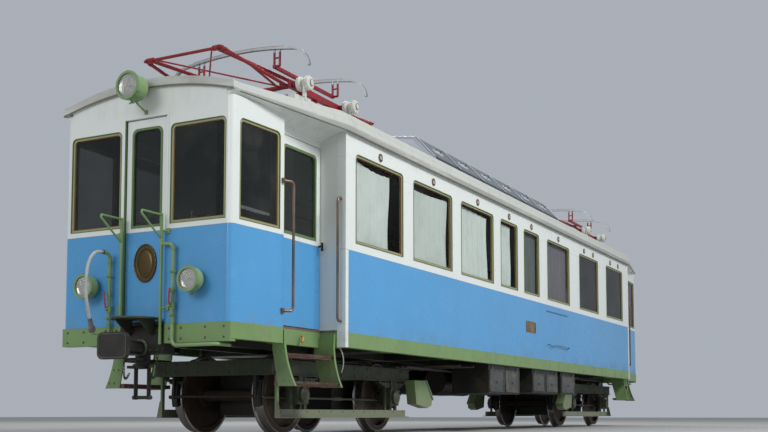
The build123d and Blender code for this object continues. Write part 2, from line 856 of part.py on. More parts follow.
# Low guard beams, their end gussets and the sand boxes
with BuildPart() as guards:
    beam_x = (side_frame_x - plate / 2, side_frame_x + plate / 2)
    beam_y = (bogie_y - low_beam_half, bogie_y + low_beam_half)
    block(beam_x, beam_y, (low_beam_z[0], low_beam_z[1] - fit))
    block((beam_x[0], beam_x[1] + 50), beam_y, (low_beam_z[0], low_beam_z[0] + 12))
    with BuildSketch(Plane.XZ.offset(-beam_y[0])):
        with BuildLine():
            Polyline(
                (beam_x[0], low_beam_z[0]),
                (beam_x[1] + 50, low_beam_z[0]),
                (beam_x[1] + 10, low_beam_z[1] + 90),
                (beam_x[0], low_beam_z[1] + 90),
                close=True,
            )
        make_face()
    extrude(amount=12)
    block(
        (beam_x[0], beam_x[1]),
        (beam_y[0] - 12, beam_y[0] + 30),
        (low_beam_z[1] - 1, beam_z[0] - fit),
    )
    sand_x = side_frame_x + frame_flange[0] + fit
    sand_y = axle_places[1] + leaf_lengths[0] + 10
    with BuildSketch(Plane.YZ.offset(sand_x)):
        with BuildLine():
            Polyline(
                (sand_y, 655),
                (sand_y + 330, 655),
                (sand_y + 520, 430),
                (sand_y + 500, 345),
                (sand_y + 380, 310),
                (sand_y + 60, 360),
                close=True,
            )
        make_face()
    extrude(amount=130)
    with BuildSketch(Plane.YZ.offset(sand_x)):
        with BuildLine():
            Polyline(
                (sand_y + 324, 662),
                (sand_y + 340, 668),
                (sand_y + 545, 424),
                (sand_y + 530, 412),
                close=True,
            )
        make_face()
    extrude(amount=142)
    mirror(about=Plane.YZ)

with BuildPart() as motors:
    for hand, axle_y in zip((1, -1), axle_places):
        near = axle_y + hand * (axle_radius + 30)
        far = bogie_y - hand * (180 + fit)
        mid = far - hand * 150
        block((-330, 330), sorted((near, mid)), (225, 660))
        block((-160, 160), sorted((mid, far)), (640, 740))

# Brake shoes hang in front of each tread from the end transoms
shoe_gap = 7
shoe_thickness = 42
shoe_width = 70
shoe_spread = 17          # half angle of a shoe at the axle
shoe_x = gauge / 2 + 15 + shoe_width / 2
with BuildPart() as brakes:
    for hand, axle_y in zip((-1, 1), axle_places):
        reach = 2 * tread_radius
        slope = reach * sin(radians(shoe_spread))
        with BuildSketch(Plane.YZ.offset(shoe_x - shoe_width / 2)):
            with Locations((axle_y, axle_z)):
                Circle(tread_radius + shoe_gap + shoe_thickness)
                Circle(tread_radius + shoe_gap, mode=Mode.SUBTRACT)
            with BuildLine():
                Polyline(
                    (axle_y, axle_z),
                    (axle_y + hand * reach, axle_z + slope),
                    (axle_y + hand * reach, axle_z - slope),
                    close=True,
                )
            make_face(mode=Mode.INTERSECT)
        extrude(amount=shoe_width)
        hanger_y = bogie_y + hand * (frame_half - 40)
        block(
            (shoe_x - 12, shoe_x + 12),
            (hanger_y - 18, hanger_y + 18),
            (axle_z - 40, beam_z[0] - fit),
        )
        rod((-shoe_x - 60, hanger_y, axle_z - 20), (shoe_x + 60, hanger_y, axle_z - 20), 16)
    mirror(about=Plane.YZ)

bogie_pieces = [
    (bogie_frame, "frame"),
    (guards, "guards"),
    (motors, "motors"),
    (brakes, "brakes"),
]
for piece, name in bogie_pieces:
    save(piece.part, f"bogie_front_{name}")
    save(piece.part.mirror(Plane.XZ), f"bogie_rear_{name}")

# Wheelsets: axle and two flanged wheels in one revolved piece
wheel_inner = gauge / 2 - flange_width
tread_edge = wheel_inner + wheel_width
for count, axle_y in enumerate(axle_places + [-y for y in reversed(axle_places)]):
    with BuildPart() as wheelset:
        with BuildSketch(Plane.XY):
            with BuildLine():
                Polyline(
                    (0, 0),
                    (journal_end, 0),
                    (journal_end, journal_radius),
                    (box_x[0] - 12, journal_radius),
                    (box_x[0] - 12, axle_radius),
                    (tread_edge + 10, axle_radius),
                    (tread_edge + 10, 110),
                    (tread_edge - 30, 120),
                    (tread_edge - 55, tread_radius - 70),
                    (tread_edge, tread_radius - 60),
                    (tread_edge, tread_radius - 4),
                    (wheel_inner + flange_width, tread_radius),
                    (wheel_inner + flange_width * 0.7, tread_radius + flange_depth * 0.8),
                    (wheel_inner + flange_width * 0.45, tread_radius + flange_depth),
                    (wheel_inner + 4, tread_radius + flange_depth - 8),
                    (wheel_inner, tread_radius - 60),
                    (wheel_inner + 20, tread_radius - 75),
                    (wheel_inner + 30, 120),
                    (wheel_inner - 10, 110),
                    (wheel_inner - 10, axle_radius),
                    (0, axle_radius),
                    close=True,
                )
            make_face()
        revolve(axis=Axis.X)
        mirror(about=Plane.YZ)
    save(wheelset.part.moved(Location((0, axle_y, axle_z))), f"wheelset_{count + 1}")

# Draw gear: housing, central buffer, clevis with its pin hole, hanging links
housing_y = -half_length - 20
housing_z = (800, 1060)
buffer_z = 860
buffer_face_y = -half_length - 420
clevis_y = -half_length - 90
pin_radius = 20
clevis_z = (660, 760)
link_y = -half_length + 8  # coupling links that hang beside the clevis block
link_top_z = 690
link_foot_z = 390
with BuildPart() as draw_gear:
    housing_half = headstock_gap - fit
    block((-housing_half, housing_half), (housing_y, -half_length + 160), housing_z)
    rod((0, housing_y + 1, buffer_z), (0, buffer_face_y + 30, buffer_z), 62)
    with BuildSketch(Plane.XZ.offset(-buffer_face_y)):
        with Locations((0, buffer_z)):
            RectangleRounded(360, 250, 60)
    extrude(amount=-40)
    block((-70, 70), (housing_y + 1, -half_length + 40), (clevis_z[0], housing_z[0] + 1))
    for low in (clevis_z[0], clevis_z[1] - 26):
        block((-55, 55), (clevis_y - 60, housing_y + 2), (low, low + 26))
    rod((0, clevis_y, clevis_z[0] - 10), (0, clevis_y, clevis_z[1] + 10), pin_radius, Mode.SUBTRACT)
    rod((-92, link_y, link_top_z), (92, link_y, link_top_z), 15)
    rod((-98, link_y, link_foot_z), (98, link_y, link_foot_z), 17)
    for side in (-1, 1):
        link_x = sorted((side * 72, side * 86))
        block(link_x, (link_y - 22, link_y + 22), (link_foot_z - 20, link_top_z + 20))
    mirror(about=Plane.XZ)
save(draw_gear.part, "draw_gear")

# Footplates in front of the gangway doors, each on two brackets on the draw gear housing
pipe_radius = 15
rail_x = 245
rail_y = -half_length - 45
footplate_z = 1138
footplate_half = rail_x - pipe_radius - 4
footplate_bracket = 135
with BuildPart() as footplates:
    back_y = -half_length - fit
    seat_y = housing_y - fit
    with BuildSketch(Plane.XY.offset(footplate_z - 16)):
        with BuildLine():
            Line((-footplate_half, back_y), (footplate_half, back_y))
            Line((footplate_half, back_y), (footplate_half, back_y - 110))
            ThreePointArc(
                (footplate_half, back_y - 110), (0, back_y - 340), (-footplate_half, back_y - 110)
            )
            Line((-footplate_half, back_y - 110), (-footplate_half, back_y))
        make_face()
    extrude(amount=16)
    for side in (-1, 1):
        with BuildSketch(Plane.YZ.offset(side * footplate_bracket - 8)):
            with BuildLine():
                Polyline(
                    (back_y, footplate_z - 16),
                    (back_y - 240, footplate_z - 16),
                    (seat_y - 30, housing_z[1] - 80),
                    (seat_y, housing_z[1] - 80),
                    (seat_y, housing_z[1] + fit),
                    (back_y, housing_z[1] + fit),
                    close=True,
                )
            make_face()
        extrude(amount=16)
    mirror(about=Plane.XZ)
save(footplates.part, "footplates")

# Handrails beside the doorways, with gate hooks, and bent ones at the entries
rail_foot_z = (1175, 885)  # the left rail ends over the footplate, the right one lower
hook_z = (1880, 2112)
hook_reach = 330
entry_bend = 42


def bent_pipe(points, bend, radius):
    """A pipe along straight runs joined by arcs."""
    with BuildLine() as run:
        FilletPolyline(*points, radius=bend)
    path = run.wire()
    with BuildSketch(Plane(origin=path @ 0, z_dir=path % 0)) as section:
        Circle(radius)
    sweep(section.sketch, path=path)


with BuildPart() as end_pipes:
    for side, foot_z in zip((-1, 1), rail_foot_z):
        x = side * rail_x
        rod((x, rail_y, foot_z), (x, rail_y, hook_z[1] + 12), pipe_radius)
        foot_x = side * (gangway_half + surround + 20)
        for height in (1230, 1960):
            rod((x, rail_y, height), (foot_x, -half_length - fit - 9, height), 11)
            block(
                sorted((foot_x - 16, foot_x + 16)),
                (-half_length - fit - 18, -half_length - fit),
                (height - 24, height + 24),
            )
        hook = [
            (x, rail_y, hook_z[0]),
            (x, rail_y - hook_reach + 45, hook_z[1] - 30),
            (x, rail_y - hook_reach + 45, hook_z[1]),
            (x, rail_y, hook_z[1]),
        ]
        bent_pipe(hook, 14, 10)
    mirror(about=Plane.XZ)
    pad_x = cab_panel_half + fit
    front_rail = (cab_panel_half + 62, panel_end_y + 80)
    front_foot = (pad_x + 14, panel_end_y - 22)
    rear_rail = (half_width - 55, -half_saloon - 70)
    rear_foot = (rear_rail[0], -half_saloon - fit)
    for foot, run, heights in (
        (front_foot, front_rail, (1235, 2515)),
        (rear_foot, rear_rail, (1190, 2475)),
    ):
        corners = [(*foot, heights[0]), (*run, heights[0]), (*run, heights[1]), (*foot, heights[1])]
        bent_pipe(corners, entry_bend, 14)
    for height in (1235, 2515):
        block(
            (pad_x, pad_x + 18),
            (panel_end_y - 44, panel_end_y - 2),
            (height - 24, height + 24),
        )
    handrail_corner = end_pipes.solids().filter_by(lambda s: s.center().X > half_end)
    add(mirror(handrail_corner, about=Plane.YZ, mode=Mode.PRIVATE))
    handrail_sides = end_pipes.solids().filter_by(lambda s: abs(s.center().X) > half_end)
    add(mirror(handrail_sides, about=Plane.XZ, mode=Mode.PRIVATE))
save(end_pipes.part, "handrails")

brake_x = 385
brake_pipe_radius = 17
pipe_bend = 59
neck_end_y = rail_y - 60
neck_top_z = 1790
joint_z = 1830            # the right pipe branches off the right handrail here
low_run_z = 870           # the pipes turn in under the headstock
side_run_x = 900
nut_length = 24
cock_z = 1240
clip_z = [1150, 1560]
brake_runs = [
    [
        (-brake_x, -half_length + 160, low_run_z),
        (-brake_x, rail_y, low_run_z),
        (-brake_x, rail_y, neck_top_z),
        (-brake_x, neck_end_y, neck_top_z),
    ],
    [
        (side_run_x, -half_length + 160, low_run_z),
        (side_run_x, rail_y, low_run_z),
        (brake_x, rail_y, low_run_z),
        (brake_x, rail_y, joint_z),
        (rail_x + pipe_radius + fit, rail_y, joint_z),
    ],
]
with BuildPart() as brake_pipes:
    for side, corners in zip((-1, 1), brake_runs):
        x = side * brake_x
        bent_pipe(corners, pipe_bend, brake_pipe_radius)
        for height in clip_z:
            rod((x, rail_y, height), (x, -half_length - fit, height), 11)
        rod((x, rail_y, cock_z - 32), (x, rail_y, cock_z + 32), 26)
        rod((x, rail_y - 40, cock_z), (x, rail_y, cock_z), 14)
    rod(
        (-brake_x, neck_end_y + 1, neck_top_z),
        (-brake_x, neck_end_y - nut_length, neck_top_z),
        23,
    )
    mirror(about=Plane.XZ)

# Brake hose: hangs from the left brake pipe of the front end, and its coupling head
# rests on a dummy bracket on the headstock
hose_radius = 16
hose_route = [
    # x, distance in front of the end wall, z
    (-385, 129 + fit, 1790),
    (-385, 225, 1790),
    (-386, 300, 1732),
    (-390, 345, 1630),
    (-398, 352, 1490),
    (-410, 335, 1350),
    (-424, 290, 1220),
    (-438, 240, 1115),
]
hose_points = [Vector(x, -half_length - reach, z) for x, reach, z in hose_route]
hose_radii = []
for before, here, after in zip(hose_points, hose_points[1:], hose_points[2:]):
    turn = (here - before).get_angle(after - here)
    shorter = min((here - before).length, (after - here).length)
    hose_radii.append(0.45 * shorter / tan(radians(turn / 2)))
print("hose radii", [round(radius) for radius in hose_radii])
with BuildPart() as brake_hose:
    with BuildLine() as hose_line:
        FilletPolyline(*hose_points, radius=hose_radii)
    hose_path = hose_line.wire()
    with BuildSketch(Plane(origin=hose_path @ 0, z_dir=hose_path % 0)):
        Circle(hose_radius)
    sweep(path=hose_path)
save(brake_hose.part, "brake_hose")
hose_volume = hose_path.length * pi * hose_radius**2
print("hose length", round(hose_path.length))
print("hose volume against section times length", brake_hose.part.volume / hose_volume)

head_direction = (hose_points[-1] - hose_points[-2]).normalized()
head_start = hose_points[-1] + head_direction * fit
head_end = head_start + head_direction * 80
disc_radius = 38
with BuildPart() as hose_coupling:
    rod(head_start, head_end, 24)
    rod(head_end + Vector(-14, 0, 0), head_end + Vector(14, 0, 0), disc_radius)
save(hose_coupling.part, "hose_coupling")

bracket_top_z = head_end.Z - disc_radius - fit
with brake_pipes:
    block(
        (head_end.X - 22, head_end.X + 22),
        (head_end.Y - 30, -half_length - 6 - fit),
        (bracket_top_z - 14, bracket_top_z),
    )
    block(
        (head_end.X - 30, head_end.X + 30),
        (-half_length - 16 - fit, -half_length - 6 - fit),
        (bracket_top_z - 60, bracket_top_z + 20),
    )
save(brake_pipes.part, "brake_pipes")

# Headlamps: one over the gangway door on a stay, two on the lower panels
lamp_table = [
    # x, z, rim radius, distance of the rim in front of the end wall, depth of the drum
    (0, 3335, 138, 290, 190),
    (-end_window_x - 10, 1470, 120, 150, 138),
    (end_window_x + 10, 1470, 120, 150, 138),
]
rim_width = 22
rim_depth = 38
stay_root_z = 3141


def lamp_section(radius, depth):
    """Half section of a lamp: distance behind the rim's face, and radius."""
    bowl = radius - rim_width
    drum = radius - 8
    with BuildLine() as line:
        Polyline(
            (depth, 0),
            (rim_depth + 2, 0),
            (rim_depth + 2, bowl),
            (0, bowl),
            (0, radius),
            (rim_depth, radius),
            (rim_depth, drum),
            (depth - 50, drum),
        )
        ThreePointArc((depth - 50, drum), (depth - 14, drum * 0.86), (depth, drum * 0.55))
        Line((depth, drum * 0.55), (depth, 0))
    make_face(line.edges())


with BuildPart() as lamps:
    for x, z, radius, reach, depth in lamp_table:
        face = (x, -half_length - reach, z)
        with BuildSketch(Plane(origin=face, x_dir=(0, 1, 0), z_dir=(1, 0, 0))):
            lamp_section(radius, depth)
        revolve(axis=Axis(face, (0, 1, 0)))
        carrier_y = -half_length - (end_overhang if z > eave_z else 0) - fit
        rod((x, -half_length - reach + depth - 1, z), (x, carrier_y, z), radius * 0.3)
    _, lamp_z, lamp_radius, reach, depth = lamp_table[0]
    rod(
        (0, -half_length - reach + depth - 70, lamp_z - lamp_radius + 14),
        (0, -half_length - fit - 7, stay_root_z),
        11,
    )
    block(
        (-16, 16),
        (-half_length - fit - 12, -half_length - fit),
        (stay_root_z - 18, stay_root_z + 18),
    )
    mirror(about=Plane.XZ)
save(lamps.part, "headlamps")

with BuildPart() as lenses:
    for x, z, radius, reach, _ in lamp_table:
        with BuildSketch(Plane.XZ.offset(half_length + reach - rim_depth - 2 + fit)):
            with Locations((x, z)):
                Circle(radius - rim_width - fit)
        extrude(amount=30)
    mirror(about=Plane.XZ)
save(lenses.part, "lamp_lenses")

# Underfloor boxes and air reservoirs between the bogies
box_table = [
    # x from, x to, y from, y to, z from
    (700, 1245, 150, 1350, 560),
    (700, 1245, 1500, 2250, 560),
    (700, 1245, -1600, -400, 520),
]
with BuildPart() as equipment:
    for x0, x1, y0, y1, z0 in box_table:
        block((x0, x1), (y0, y1), (z0, frame_bottom_z - fit))
    mirror(about=Plane.YZ)
    for side in (-1, 1):
        x = side * (headstock_gap + 40)
        rod((x, -1300, 700), (x, 1100, 700), 170)
        for y in (-900, 700):
            block((x - 30, x + 30), (y - 25, y + 25), (860, frame_bottom_z - fit))
save(equipment.part, "underfloor_equipment")

# Resistor box on the roof: a ribbed hood on a narrower plinth, rounded at its ends
box_half_length = 2640
box_foot_x = 880          # plinth
box_side_x = 920          # widest part, over the ventilation gap
box_shoulder = (890, 3640)
box_top = (620, 3930)
box_crown_z = 3985
box_gap = 40              # height of the ventilation gap
box_end_steps = [(0, 0), (36, -12), (58, -46)]  # rounding of the ends: distance, inset
panel_count = 6
rib_width = 26
rib_rise = 6
main_outer = (main_section[3], main_section[4], main_section[5])


def roof_height(x):
    """Height of the saloon roof's outer surface at x."""
    return arc_height(x, *main_outer)


def hood_outline(rise):
    """Section of the box on the roof's curve, raised for a rib or drawn in at an end."""
    foot_x = box_foot_x + min(rise, 0)
    foot_z = roof_height(foot_x) + fit
    side_z = roof_height(box_side_x) + box_gap
    right = [
        (foot_x, foot_z),
        (foot_x, side_z),
        (box_side_x + rise, side_z),
        (box_shoulder[0] + rise, box_shoulder[1] + rise / 2),
        (box_top[0] + rise / 2, box_top[1] + rise),
    ]
    left = [(-x, z) for x, z in right]
    with BuildLine() as line:
        ThreePointArc(left[0], (0, main_section[5] + fit), right[0])
        Polyline(*right)
        ThreePointArc(right[-1], (0, box_crown_z + rise), left[-1])
        Polyline(*left)
    make_face(line.edges())


box_body_half = box_half_length - box_end_steps[-1][0]
with BuildPart() as roof_box:
    with BuildSketch(Plane.XZ.offset(-box_body_half)):
        hood_outline(0)
    extrude(amount=2 * box_body_half)
    for near, far in zip(box_end_steps, box_end_steps[1:]):
        for distance, inset in (near, far):
            with BuildSketch(Plane.XZ.offset(box_body_half + distance)):
                hood_outline(inset)
        loft(ruled=True)
    mirror(about=Plane.XZ)
    panel_length = 2 * (box_body_half - rib_width) / panel_count
    for count in range(panel_count + 1):
        rib_y = (count - panel_count / 2) * panel_length
        with BuildSketch(Plane.XZ.offset(-rib_y - rib_width / 2)):
            hood_outline(rib_rise)
        extrude(amount=rib_width)
save(roof_box.part, "roof_resistor_box")

# Pantographs. The front one is modelled lowered, and mirrored for the rear.
panto_y = -half_length + 2120
shaft_half = 500          # main shafts, either side of the pantograph's middle
knee_half = 1580
knee_x = 450
shaft_z = 3770
knee_z = 3885
apex_z = 3970
bow_z = 4150
bow_half = 630            # the two bows, either side of the middle
insulator_x = 780
lower_length = sqrt((knee_half - shaft_half) ** 2 + (knee_z - shaft_z) ** 2)
upper_length = sqrt(knee_half**2 + (apex_z - knee_z) ** 2)

rail_half = 45
rail_top_z = 3590
rail_length = 1520
rail_lift = 0.6           # keeps the rail's flat foot clear of the roof's curve
with BuildPart() as panto_rails:
    for end in (-1, 1):
        with BuildSketch(Plane.XZ.offset(-end * panto_y)):
            for side in (-1, 1):
                near = insulator_x - rail_half
                far = insulator_x + rail_half
                with BuildLine():
                    Polyline(
                        (side * near, roof_height(near) + rail_lift),
                        (side * far, roof_height(far) + rail_lift),
                        (side * far, rail_top_z),
                        (side * near, rail_top_z),
                        close=True,
                    )
                make_face()
        extrude(amount=rail_length / 2, both=True)
save(panto_rails.part, "pantograph_rails")

# Insulators: two sheds on a foot, lying across the car
shed_radius = 78
insulator_half = 96
insulator_profile = [
    # distance from the middle, radius
    (insulator_half, 0),
    (insulator_half, 30),
    (84, 40),
    (76, 72),
    (62, shed_radius),
    (36, shed_radius),
    (22, 66),
    (18, 36),
]
with BuildPart() as insulators:
    for side in (-1, 1):
        for y in (panto_y - shaft_half, panto_y + shaft_half):
            x = side * insulator_x
            far_side = [(-along, radius) for along, radius in reversed(insulator_profile)]
            middle = (x, y, shaft_z)
            with BuildSketch(Plane(origin=middle, x_dir=(1, 0, 0), z_dir=(0, -1, 0))):
                with BuildLine():
                    Polyline(*insulator_profile, *far_side, close=True)
                make_face()
            revolve(axis=Axis(middle, (1, 0, 0)))
            rod((x, y, rail_top_z + 10), (x, y, shaft_z - 20), 24)
            block((x - 42, x + 42), (y - 60, y + 60), (rail_top_z + fit, rail_top_z + 12))
    mirror(about=Plane.XZ)
save(insulators.part, "pantograph_insulators")

beam_half_x = insulator_x - insulator_half - fit
base_bar = 24             # half width of the base's long bars
bar_x = beam_half_x - 60
with BuildPart() as panto_base:
    for side in (-1, 1):
        x = side * bar_x
        for y in (panto_y - shaft_half, panto_y + shaft_half):
            rod((side * beam_half_x, y, shaft_z), (x, y, shaft_z), 26)
        block(
            (x - base_bar, x + base_bar),
            (panto_y - shaft_half - 60, panto_y + shaft_half + 60),
            (shaft_z - 34, shaft_z + 34),
        )
        spring_x = side * 240
        rod((spring_x, panto_y - 420, 3736), (spring_x, panto_y + 420, 3736), 32)
    for y in (panto_y - 300, panto_y, panto_y + 300):
        block((-bar_x, bar_x), (y - 20, y + 20), (shaft_z - 60, shaft_z - 20))

arm_x = bar_x - base_bar


def between(start, end, share):
    """Point at a share of the way from start to end."""
    return tuple(a + (b - a) * share for a, b in zip(start, end))


def lower_arm(hand):
    """Lower arms on one side of the linkage: main shaft, braced tubes and knee shaft."""
    shaft = (panto_y + hand * shaft_half, shaft_z)
    knee = (panto_y + hand * knee_half, knee_z)
    with BuildPart() as arm:
        rod((-arm_x + fit, *shaft), (arm_x - fit, *shaft), 24)
        rod((-knee_x - 50, *knee), (knee_x + 50, *knee), 16)
        for side in (-1, 1):
            root = (side * (arm_x - 30), *shaft)
            tip = (side * (knee_x + 26), *knee)
            rod(root, tip, 19)
            rod((side * (arm_x - 150), *shaft), between(root, tip, 0.62), 13)
            rod((side * (arm_x - 90), *shaft), (-side * (knee_x - 90), *knee), 9)
    return arm.part


upper_tilt = degrees(asin((apex_z - knee_z) / upper_length))
twin = 38                 # between the two tubes of an upper arm


def upper_arm(hand, gap):
    """Upper arms from the knee shaft to the apex, each a pair of tubes with rungs."""
    knee = (panto_y + hand * knee_half, knee_z)
    reach = upper_length - gap
    tip = (
        knee[0] - hand * cos(radians(upper_tilt)) * reach,
        knee[1] + sin(radians(upper_tilt)) * reach,
    )
    with BuildPart() as arm:
        for side in (-1, 1):
            sleeve = (side * (knee_x - twin - 32), side * (knee_x + 2))
            rod((sleeve[0], *knee), (sleeve[1], *knee), 28)
            outer = ((side * (knee_x - 20), *knee), (side * (knee_x - 80), *tip))
            inner = (
                (side * (knee_x - 20 - twin), *knee),
                (side * (knee_x - 80 - twin), *tip),
            )
            rod(*outer, 14)
            rod(*inner, 10)
            for share in (0.25, 0.5, 0.75):
                rod(between(*outer, share), between(*inner, share), 7)
            rod(
                (sleeve[0] - side, *knee),
                (sleeve[1] + side, *knee),
                16.05,
                mode=Mode.SUBTRACT,
            )
        rod((-knee_x + 50, *tip), (knee_x - 50, *tip), 14)
    return arm.part


with BuildPart() as head:
    for side in (-1, 1):
        x = side * (knee_x + 20)
        block(
            (x - 16, x + 16),
            (panto_y - bow_half, panto_y + bow_half),
            (apex_z - 18, apex_z + 18),
        )
        rod((x - 16, panto_y, apex_z), (side * (knee_x - 50 + fit), panto_y, apex_z), 14)
        for end in (-1, 1):
            y = panto_y + end * (bow_half - 12)
            rod((x, y, apex_z), (x, y, bow_z + 12), 13)
            post = (side * (knee_x + 90), y)
            rod((*post, apex_z), (*post, bow_z + 2), 13)
            rod((x, y, apex_z), (*post, apex_z), 13)
            rod((x, y, apex_z + 90), (*post, apex_z + 90), 9)
    for end in (-1, 1):
        y = panto_y + end * bow_half
        with BuildSketch(Plane.XZ.offset(-y - 20)):
            with BuildLine():
                ThreePointArc((-700, bow_z), (0, bow_z + 55), (700, bow_z))
                ThreePointArc((700, bow_z), (850, bow_z - 70), (930, bow_z - 230))
                Line((930, bow_z - 230), (905, bow_z - 238))
                ThreePointArc((905, bow_z - 238), (830, bow_z - 90), (690, bow_z - 26))
                ThreePointArc((690, bow_z - 26), (0, bow_z + 29), (-690, bow_z - 26))
                ThreePointArc((-690, bow_z - 26), (-830, bow_z - 90), (-905, bow_z - 238))
                Line((-905, bow_z - 238), (-930, bow_z - 230))
                ThreePointArc((-930, bow_z - 230), (-850, bow_z - 70), (-700, bow_z))
            make_face()
        extrude(amount=40)

panto_pieces = [
    (panto_base.part, "base"),
    (lower_arm(-1), "lower_outer"),
    (lower_arm(1), "lower_inner"),
    (upper_arm(-1, 0), "upper_outer"),
    (upper_arm(1, 60), "upper_inner"),
    (head.part, "head"),
]
for piece, name in panto_pieces:
    save(piece, f"pantograph_front_{name}")
    save(piece.mirror(Plane.XZ), f"pantograph_rear_{name}")
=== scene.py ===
"""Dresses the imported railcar: finishes, trim, cloth, hose, stage and camera."""
import math

import bmesh
import bpy
import numpy as np
from bpy.props import FloatProperty, FloatVectorProperty, IntProperty, PointerProperty
from bpy.types import Operator, Panel, PropertyGroup
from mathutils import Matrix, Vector


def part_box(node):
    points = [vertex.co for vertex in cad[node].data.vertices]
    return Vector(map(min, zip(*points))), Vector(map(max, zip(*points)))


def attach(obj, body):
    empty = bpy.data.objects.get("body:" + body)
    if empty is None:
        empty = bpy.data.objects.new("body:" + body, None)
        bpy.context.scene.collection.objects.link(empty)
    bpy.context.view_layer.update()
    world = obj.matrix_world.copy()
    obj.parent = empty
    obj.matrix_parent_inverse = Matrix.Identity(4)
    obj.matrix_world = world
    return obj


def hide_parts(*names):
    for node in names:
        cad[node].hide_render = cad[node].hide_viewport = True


bl_info = {
    "name": "Railcar Dresser",
    "version": (1, 0, 0),
    "blender": (4, 5, 0),
    "location": "View3D > Sidebar > Railcar",
    "description": "Paint, trim, cloth and stage for a vintage electric railcar",
    "category": "Object",
}

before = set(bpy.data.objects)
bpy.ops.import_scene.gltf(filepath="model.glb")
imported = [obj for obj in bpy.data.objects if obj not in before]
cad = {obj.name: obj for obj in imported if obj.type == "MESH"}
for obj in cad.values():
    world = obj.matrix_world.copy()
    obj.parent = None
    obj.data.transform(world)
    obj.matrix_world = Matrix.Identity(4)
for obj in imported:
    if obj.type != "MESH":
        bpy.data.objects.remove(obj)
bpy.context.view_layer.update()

# Places on the car, in metres. Lengths of the body run along y.
CAR = "car_body"
SIDE_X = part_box("side_walls")[1].x
SALOON_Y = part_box("side_walls")[1].y
FACE_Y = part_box("cab_side_panels")[1].y
PANEL_Y = 6.446  # rear edge of a cab side panel
PANEL_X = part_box("cab_side_panels")[1].x
END_X = 1.02  # half width over the corners of an end wall
DOOR_X = 0.99  # outer face of the entry doors
DOOR_Y = 6.034  # middle of an entry door
# Openings in the doors: half width, bottom and top, at the pane and inside the bead's groove
ENTRY_PANE, ENTRY_BEAD = (0.293, 2.057, 2.906), (0.3215, 2.0285, 2.9345)
GANGWAY_PANE, GANGWAY_BEAD = (0.165, 2.0455, 2.9775), (0.1815, 2.0285, 2.9945)
WALL, BULKHEAD = 0.0435, 0.061  # thickness, to just inside the inner face
SILL_Z, HEAD_Z = 2.03, 2.993
MID_Z = (SILL_Z + HEAD_Z) / 2
WINDOW_H = HEAD_Z - SILL_Z
CORNER_R = 0.055
BELT_Z, BELT_END_Z = 1.942, 1.98
UPPER_LINE_Z, FOOT_LINE_Z = 2.922, 1.165  # joints between a side wall's sheets
PANEL_LINES_Y = (-2.77, 0.571, 3.0)
PANE_IN = 0.021  # from a wall's face to its panes
FRAME_IN = 0.009
BOGIE_Y, AXLE_OFF, AXLE_Z = 4.6, 1.05, 0.437
BOGIES = {"bogie_front": -BOGIE_Y, "bogie_rear": BOGIE_Y}
AXLES = [middle + off for middle in BOGIES.values() for off in (-AXLE_OFF, AXLE_OFF)]
BOGIE_SIDE_X = 0.747  # outer face of a bogie's side frame
DOOR_PLATE_Y = 7.215  # outer face of a gangway door
FOOT_RIVETS_Z = 1.098
SHEET_PITCH = 1.407  # of the roof's sheets
ENDS = (("front", -1), ("rear", 1))
CORNERS = [(end, side) for end in (-1, 1) for side in (-1, 1)]
END_WINDOW = (0.625, 0.65)  # middle and width
CAB_WINDOW = (0.4228, 0.6256)  # middle along the panel, and width
WIDE, NARROW = 1.115, 0.668
# Post before each side window, its width, and what hangs behind it
WINDOW_ROW = [
    (0.217, WIDE, "sagging"),
    (0.272, WIDE, "full"),
    (0.286, WIDE, "short"),
    (0.279, NARROW, "side"),
    (0.271, NARROW, "blind"),
    (0.389, WIDE, "blind"),
    (0.560, WIDE, None),
    (0.532, WIDE, None),
]


def side_windows():
    """(middle y, width, covering) of each side window."""
    y, found = -SALOON_Y, []
    for post, width, covering in WINDOW_ROW:
        y += post + width
        found.append((y - width / 2, width, covering))
    return found


def colour_property(name, description, default):
    """A colour that a user can change."""
    return FloatVectorProperty(
        name=name, description=description, subtype="COLOR", size=3, min=0, max=1, default=default
    )


def length_property(name, description, default):
    """A length that a user can change."""
    return FloatProperty(
        name=name, description=description, unit="LENGTH", min=0.0005, max=1, default=default
    )


class RailcarColours(PropertyGroup):
    """Colours of the car's finishes, linear."""

    blue: colour_property("Blue", "Lower panels", (0.080, 0.325, 0.630))
    ivory: colour_property("Ivory", "Upper panels and posts", (0.76, 0.80, 0.76))
    roof: colour_property("Roof", "Roof sheets", (0.50, 0.51, 0.465))
    green: colour_property("Green", "Solebars, steps and lamps", (0.185, 0.305, 0.110))
    iron: colour_property("Iron", "Oily running gear", (0.022, 0.022, 0.019))
    red: colour_property("Red", "Pantographs", (0.27, 0.008, 0.014))
    aluminium: colour_property("Aluminium", "Resistor box", (0.175, 0.205, 0.230))
    olive: colour_property("Olive", "Window sashes", (0.34, 0.345, 0.16))
    tread: colour_property("Tread", "Step boards", (0.17, 0.07, 0.045))
    cloth: colour_property("Cloth", "Curtains", (0.66, 0.73, 0.69))
    leather: colour_property("Leather", "Bench covers", (0.11, 0.045, 0.022))
    bronze: colour_property("Bronze", "Oval plate", (0.11, 0.075, 0.030))


class RailcarSizes(PropertyGroup):
    """Sizes of the trim and cloth."""

    bolt: length_property("Bolt", "Radius of a large bolt head", 0.013)
    rivet: length_property("Rivet", "Radius of a rivet head", 0.007)
    bead: length_property("Bead", "Width of the bead round a window", 0.009)
    vent: length_property("Vent", "Radius of a round vent", 0.046)
    fold: length_property("Fold", "Depth of a curtain's folds", 0.010)
    hose: length_property("Hose", "Radius of the brake hose", 0.016)
    cushion: length_property("Cushion", "Most that the stuffing moves a bench's cover", 0.022)
    turns: IntProperty(name="Turns", description="Turns of a spring", min=4, max=60, default=26)


